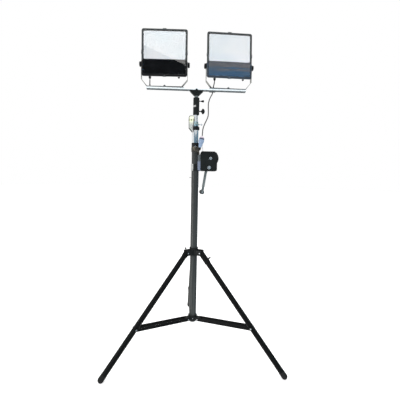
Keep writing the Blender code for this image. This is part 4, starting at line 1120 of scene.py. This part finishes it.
def leg(name):
    top, down, across, length = leg_geometry(name)
    place = leg_frame(top, down, across)
    end = 0.006 - length
    if name == "level":
        bore = LEG_RADIUS + 0.0003
        sleeve = lathe("level_sleeve_tube", [(bore, 0.0140), (LEG_HEAD, 0.0140),
            (LEG_HEAD, -0.0700), (LEG_HEAD + 0.0004, -0.0715), (LEG_HEAD + 0.0004, -0.0805),
            (LEG_HEAD, -0.0820), (bore, -0.0820)], place, "black_leg", 56, 0.0006)
        boss = place @ shift((LEG_HEAD - 0.002, 0, -0.060))
        stub = lathe("level_boss", mm((0, 7.2), (6.2, 7.2), (7, 6.2), (7, 0), (0, 0)),
            along(boss.translation, boss.col[0].xyz), "black_cast", 40, 0.0005)
        ride(merged("level_sleeve_body", [sleeve, stub]), "level_sleeve", "black_alloy",
            "level_leg_sleeve")
        ride(lathe("level_leg_inner", [(0, 0.0100), (LEG_RADIUS, 0.0100), (LEG_RADIUS, end),
            (0, end)], place, "black_leg", 56, 0.0010), "level_tube", "black_alloy",
            "level_leg_tube")
        level_screw(place)
    else:
        profile = [(0, 0.0140), (0.0130, 0.0140), (0.0180, 0.0100), (LEG_HEAD, 0.0060),
            (LEG_HEAD, -0.0260), (0.0188, -0.0280), (0.0175, -0.0300), (LEG_RADIUS, -0.0320),
            (LEG_RADIUS, end), (0, end)]
        ride(lathe(f"{name}_leg_tube", profile, place, "black_leg", 56, 0.0012), LEGS[name],
            "black_alloy", f"{name}_leg")
    pivot_bolts(f"{name}_pivot_rivet", place, EAR_OUTSIDE + 0.0002, LEGS[name])
    foot(name, place, length)


def level_screw(place):
    """A wing screw: threaded stem, round hub and two curved wings."""
    at = place @ shift((LEG_HEAD + 0.0058, 0, -0.060))
    turn = along(at.translation, at.col[0].xyz)
    stem = lathe("level_stem", mm((0, 5), (3, 5), (3, 0), (0, 0)), turn, "steel", 32, 0.0003)
    hub = lathe("level_hub", mm((0, 14), (3, 14), (4.6, 12), (5.2, 3.2), (0, 3.2)), turn,
        "black_plastic", 40, 0.0006)
    axis_y = turn.inverted().to_3x3() @ at.col[1].xyz
    outline = soften(both_sides(mm((3, 10.5), (6, 14.5), (10.5, 14.2), (11, 10), (4.5, 5))),
        0.0020, True)
    wing = slab("level_wings", [outline], 0.0036,
        turn @ Matrix.Rotation(math.atan2(axis_y.y, axis_y.x), 4, "Z"), "black_plastic", 0.0008)
    ride(merged("level_wing_screw", [stem, hub, wing]), "level_screw", "black_plastic",
        "level_screw")


def foot(name, place, length):
    """A ribbed rubber end, cut flat by the floor."""
    ball = arc((0, -length), FOOT_RADIUS, 0, -90, 12)
    inside, wide, groove = LEG_RADIUS + 0.0003, FOOT_RADIUS, FOOT_RADIUS - 0.0006
    side = [(0, 0.0057), (inside, 0.0057), (inside, 0.0280), (wide - 0.0008, 0.0280),
        (wide, 0.0268), (wide, 0.0215), (groove, 0.0208), (groove, 0.0190), (wide, 0.0183),
        (wide, 0.0120), (groove, 0.0113), (groove, 0.0095), (wide, 0.0088)]
    profile = [(radius, height - length) for radius, height in side]
    profile += ball[:-1] + [(0, -FOOT_RADIUS - length)]
    made = lathe(f"{name}_rubber_foot", profile, place, "rubber", 56, 0.0004)
    shape = bmesh.new()
    shape.from_mesh(made.data)
    everything = shape.verts[:] + shape.edges[:] + shape.faces[:]
    cut = bmesh.ops.bisect_plane(shape, geom=everything, dist=0.0000001, plane_co=(0, 0, 0),
        plane_no=(0, 0, -1), clear_outer=True)
    rim = [item for item in cut["geom_cut"] if isinstance(item, bmesh.types.BMEdge)]
    bmesh.ops.edgeloop_fill(shape, edges=rim)
    shape.to_mesh(made.data)
    shape.free()
    ride(made, "level_tube" if name == "level" else LEGS[name], "rubber", f"{name}_foot")


def brace(name):
    """Two flat cheeks with rounded edges, tied by a spacer and bright rivets."""
    body = f"{name}_brace"
    hinge, across = pivot(f"{name}_brace_fold"), -axis_of(f"{name}_brace_fold")
    top, down, _, length = leg_geometry(name)
    joint = top + down * length * BRACE_JOINT
    up = (joint - hinge).normalized()
    place = leg_frame(hinge, -up, across)
    reach = (joint - hinge).length
    width, inside, cheek = 0.0205, 0.0176, 0.0025
    outline = arc((0, reach), width / 2, 0, 180, 14) + arc((0, 0), width / 2, 180, 360, 14)
    parts = []
    for side in (-1, 1):
        spot = place @ shift((0, side * (inside + cheek / 2), 0))
        parts.append(slab(f"{name}_cheek_{side}", [outline], cheek, spot, "black_leg", 0.0007))
    parts.append(lathe(f"{name}_spacer", [(0, inside), (0.0062, inside), (0.0062, -inside),
        (0, -inside)], along(hinge, across), "steel", 32, 0.0004))
    ride(merged(f"{name}_brace_pair", parts), body, "black_alloy", body)
    pivot_bolts(f"{name}_hub_rivet", place, inside + cheek + 0.0004, body, 0.0052)
    pivot_bolts(f"{name}_leg_rivet", place @ shift((0, 0, reach)), inside + cheek + 0.0004, body,
        0.0052)


def tripod():
    keep("base_hub", "black_cast", 0.0008)
    keep("leg_collar", "black_cast", 0.0010)
    for name, z in (("upper", 0.7085), ("lower", 0.6635)):
        ride(lathe(f"collar_band_{name}", [(0.0284, z + 0.002), (0.0294, z + 0.002),
            (0.0294, z - 0.002), (0.0284, z - 0.002)], AT_MAST, "black_cast", 72, 0.0006),
            "collar", "black_cast")
    ride(lathe("hub_rim", mm((28.4, 243), (29.6, 243), (30.6, 240), (30.6, 233), (29.8, 232),
        (28.4, 232)), AT_MAST, "black_cast", 72, 0.0007), "mast", "black_cast")
    ride(screw_head("hub_screw", along(by_mast(0, -0.0300, 0.2270), (0, -1, 0)), 0.0032), "mast",
        "steel")
    at = pivot("collar_knob_turn")
    ride(lathe("collar_thumb_knob", mm((0, 13), (4, 13), (6, 11.2), (6, 5), (3, 4), (3, 0),
        (0, 0)), shift(at), "black_plastic", 56, 0.0008, fluted(8, 0.0008, 0.0045, 0.0120)),
        "collar_knob", "black_plastic", "collar_knob")
    for name in LEGS:
        leg(name)
        brace(name)


# --- room --------------------------------------------------------------------------------------


SOFT_LIGHT, IN_REFLECTIONS = 1.35, 0.96  # of the white surroundings; seen straight they are 1


def stage():
    scene = bpy.context.scene
    scene.view_settings.view_transform = "Standard"
    shape = bmesh.new()
    bmesh.ops.create_circle(shape, cap_ends=True, segments=64, radius=40.0)
    floor = linked("floor", mesh_of("floor", shape))
    floor.data.materials.append(Nodes("pale_floor").set(Base_Color=(0.86, 0.86, 0.86, 1.0),
        Roughness=0.9, Emission_Color=(1.0, 1.0, 1.0, 1.0), Emission_Strength=0.30))
    floor.visible_glossy = False
    world = bpy.data.worlds.new("studio")
    scene.world = world
    world.use_nodes = True
    background = world.node_tree.nodes["Background"]
    background.inputs["Color"].default_value = (1.0, 1.0, 1.0, 1.0)
    seen = world.node_tree.nodes.new("ShaderNodeLightPath")
    for_gloss, strength = (world.node_tree.nodes.new("ShaderNodeMapRange") for _ in range(2))
    for_gloss.inputs["To Min"].default_value = SOFT_LIGHT
    for_gloss.inputs["To Max"].default_value = IN_REFLECTIONS
    for a, b in ((seen.outputs["Is Glossy Ray"], for_gloss.inputs["Value"]),
            (for_gloss.outputs["Result"], strength.inputs["To Min"]),
            (seen.outputs["Is Camera Ray"], strength.inputs["Value"]),
            (strength.outputs["Result"], background.inputs["Strength"])):
        world.node_tree.links.new(a, b)
    for name, place, energy, size in (("key", (-2.6, -3.2, 3.4), 50, 2.2),
            ("fill", (3.0, -2.2, 2.2), 12, 2.6), ("top", (0.0, 0.6, 4.2), 20, 2.5)):
        lamp = bpy.data.lights.new(name, "AREA")
        lamp.energy, lamp.size = energy, size
        thing = linked(name, lamp)
        thing.matrix_world = along(place, Vector(place) - by_mast(0, 0, 1.2))
        thing.visible_glossy = False


CARD_SIDE, CARD_HEIGHT = 0.28, 0.27  # the cards' second axis points down
LOW, HIGH = CARD_HEIGHT / 2, -CARD_HEIGHT / 2
SLANT = ((CARD_SIDE, 0.009), (-CARD_SIDE, -0.227))  # the upper edge of the left lamp's dark card
CARD_TOP = -0.62
CARD_DISTANCE = 1.2  # from the lamp's printed band
WALL_RADIUS, WALL_STEPS = 3.5, 24


def shining(name, mesh, made, colour, strength, through_glass=False):
    """Gives a card its glow and leaves it to reflections and, if asked, rays through glass."""
    mesh.materials.append(made.set(Base_Color=(0, 0, 0, 1), Roughness=1.0, Specular_IOR_Level=0.0,
        Emission_Color=colour, Emission_Strength=strength))
    thing = linked(name, mesh)
    for ray in ("camera", "diffuse", "volume_scatter", "shadow"):
        setattr(thing, f"visible_{ray}", False)
    thing.visible_transmission = through_glass
    return thing


def card(name, place, outline, strength, *stops):
    """A studio card that shows only in reflections, its colours running down it in streaks."""
    shape = bmesh.new()
    shape.faces.new([shape.verts.new((x, y, 0)) for x, y in outline])
    made, ragged = Nodes(name), 0.22 * CARD_HEIGHT
    streaks = made.spread(made.noise(3.0, (0.8, 14, 1)), -ragged, ragged)
    down = made.math("ADD", made.part(made.place, "Y"), streaks)
    shade = made.shades(made.ranged(down, HIGH, LOW), *stops)
    thing = shining(name, mesh_of(name, shape), made, shade, strength, through_glass=True)
    thing.matrix_world = place


def curved_wall(name, start, end, low, high, colour, strength):
    """A standing part of a cylinder round the mast, its angles counted from the front to +X."""
    shape = bmesh.new()
    columns = []
    for i in range(WALL_STEPS + 1):
        angle = math.radians(start + (end - start) * i / WALL_STEPS)
        foot = by_mast(WALL_RADIUS * math.sin(angle), -WALL_RADIUS * math.cos(angle), 0)
        columns.append([shape.verts.new(foot + Vector((0, 0, z))) for z in (low, high)])
    for a, b in zip(columns, columns[1:]):
        shape.faces.new((a[0], b[0], b[1], a[1]))
    shining(name, mesh_of(name, shape), Nodes(name), (*linear(colour), 1.0), strength)


def reflection_cards():
    """What the lamps' printed bands and panes mirror: a dark slanted card for the left lamp, one in
    dusk blues for the right one, a bright card above each. Round them stand a cool wall, its upper
    and dark parts, and a bright strip for the tubes."""
    eye = bpy.context.scene.camera.matrix_world.translation
    black = ((0.0, (66, 70, 74)), (1.0, (74, 78, 82)))
    bright = ((0.0, (250, 248, 246)), (1.0, (255, 250, 247)))
    dusk = ((0.15, (122, 126, 134)), (0.40, (134, 134, 138)), (0.58, (96, 124, 152)),
        (0.85, (72, 118, 166)))
    bottom = [(-CARD_SIDE, LOW), (CARD_SIDE, LOW)]
    top = [(CARD_SIDE, CARD_TOP), (-CARD_SIDE, CARD_TOP)]
    level = ((CARD_SIDE, HIGH), (-CARD_SIDE, HIGH))
    for name, edge, strength, stops, shine in (("left", SLANT, 1.0, black, 2.45),
            ("right", level, 7.5, dusk, 1.9)):
        place = lamp_frame(name)
        band = place @ Vector((0, FACE + 0.0015,
            LAMP_MIDDLE - LAMP_HEIGHT / 2 + RIM + BAND_HEIGHT / 2))
        out = (place.to_3x3() @ Vector((0, -1, 0))).normalized()
        view = (band - eye).normalized()
        mirrored = view - out * 2 * view.dot(out)
        facing = along(band + mirrored * CARD_DISTANCE, -mirrored)
        side = facing.inverted().to_3x3() @ Vector((1, 0, 0))
        facing = facing @ Matrix.Rotation(math.atan2(side.y, side.x), 4, "Z")
        card(f"{name}_card", facing, bottom + list(edge), strength, *stops)
        card(f"{name}_bright_card", facing, [edge[1], edge[0], *top], shine, *bright)
    curved_wall("cool_wall", -44, 150, -2.5, 2.2, (104, 138, 158), 1.0)
    curved_wall("light_strip", -62, -47, -2.5, 1.75, (250, 250, 248), 6.0)
    curved_wall("upper_wall", -78, 150, 2.2, 2.66, (112, 142, 160), 1.0)
    curved_wall("dark_wall", 32, 150, 2.85, 3.4, (72, 76, 78), 1.0)


def build():
    for part in (camera, main_lead, lamps, crossbar, adapter, socket, upper_mast, pulleys, ropes,
            mast_head, mast_strap, winch, crank, tripod, stage, reflection_cards):
        part()


build()
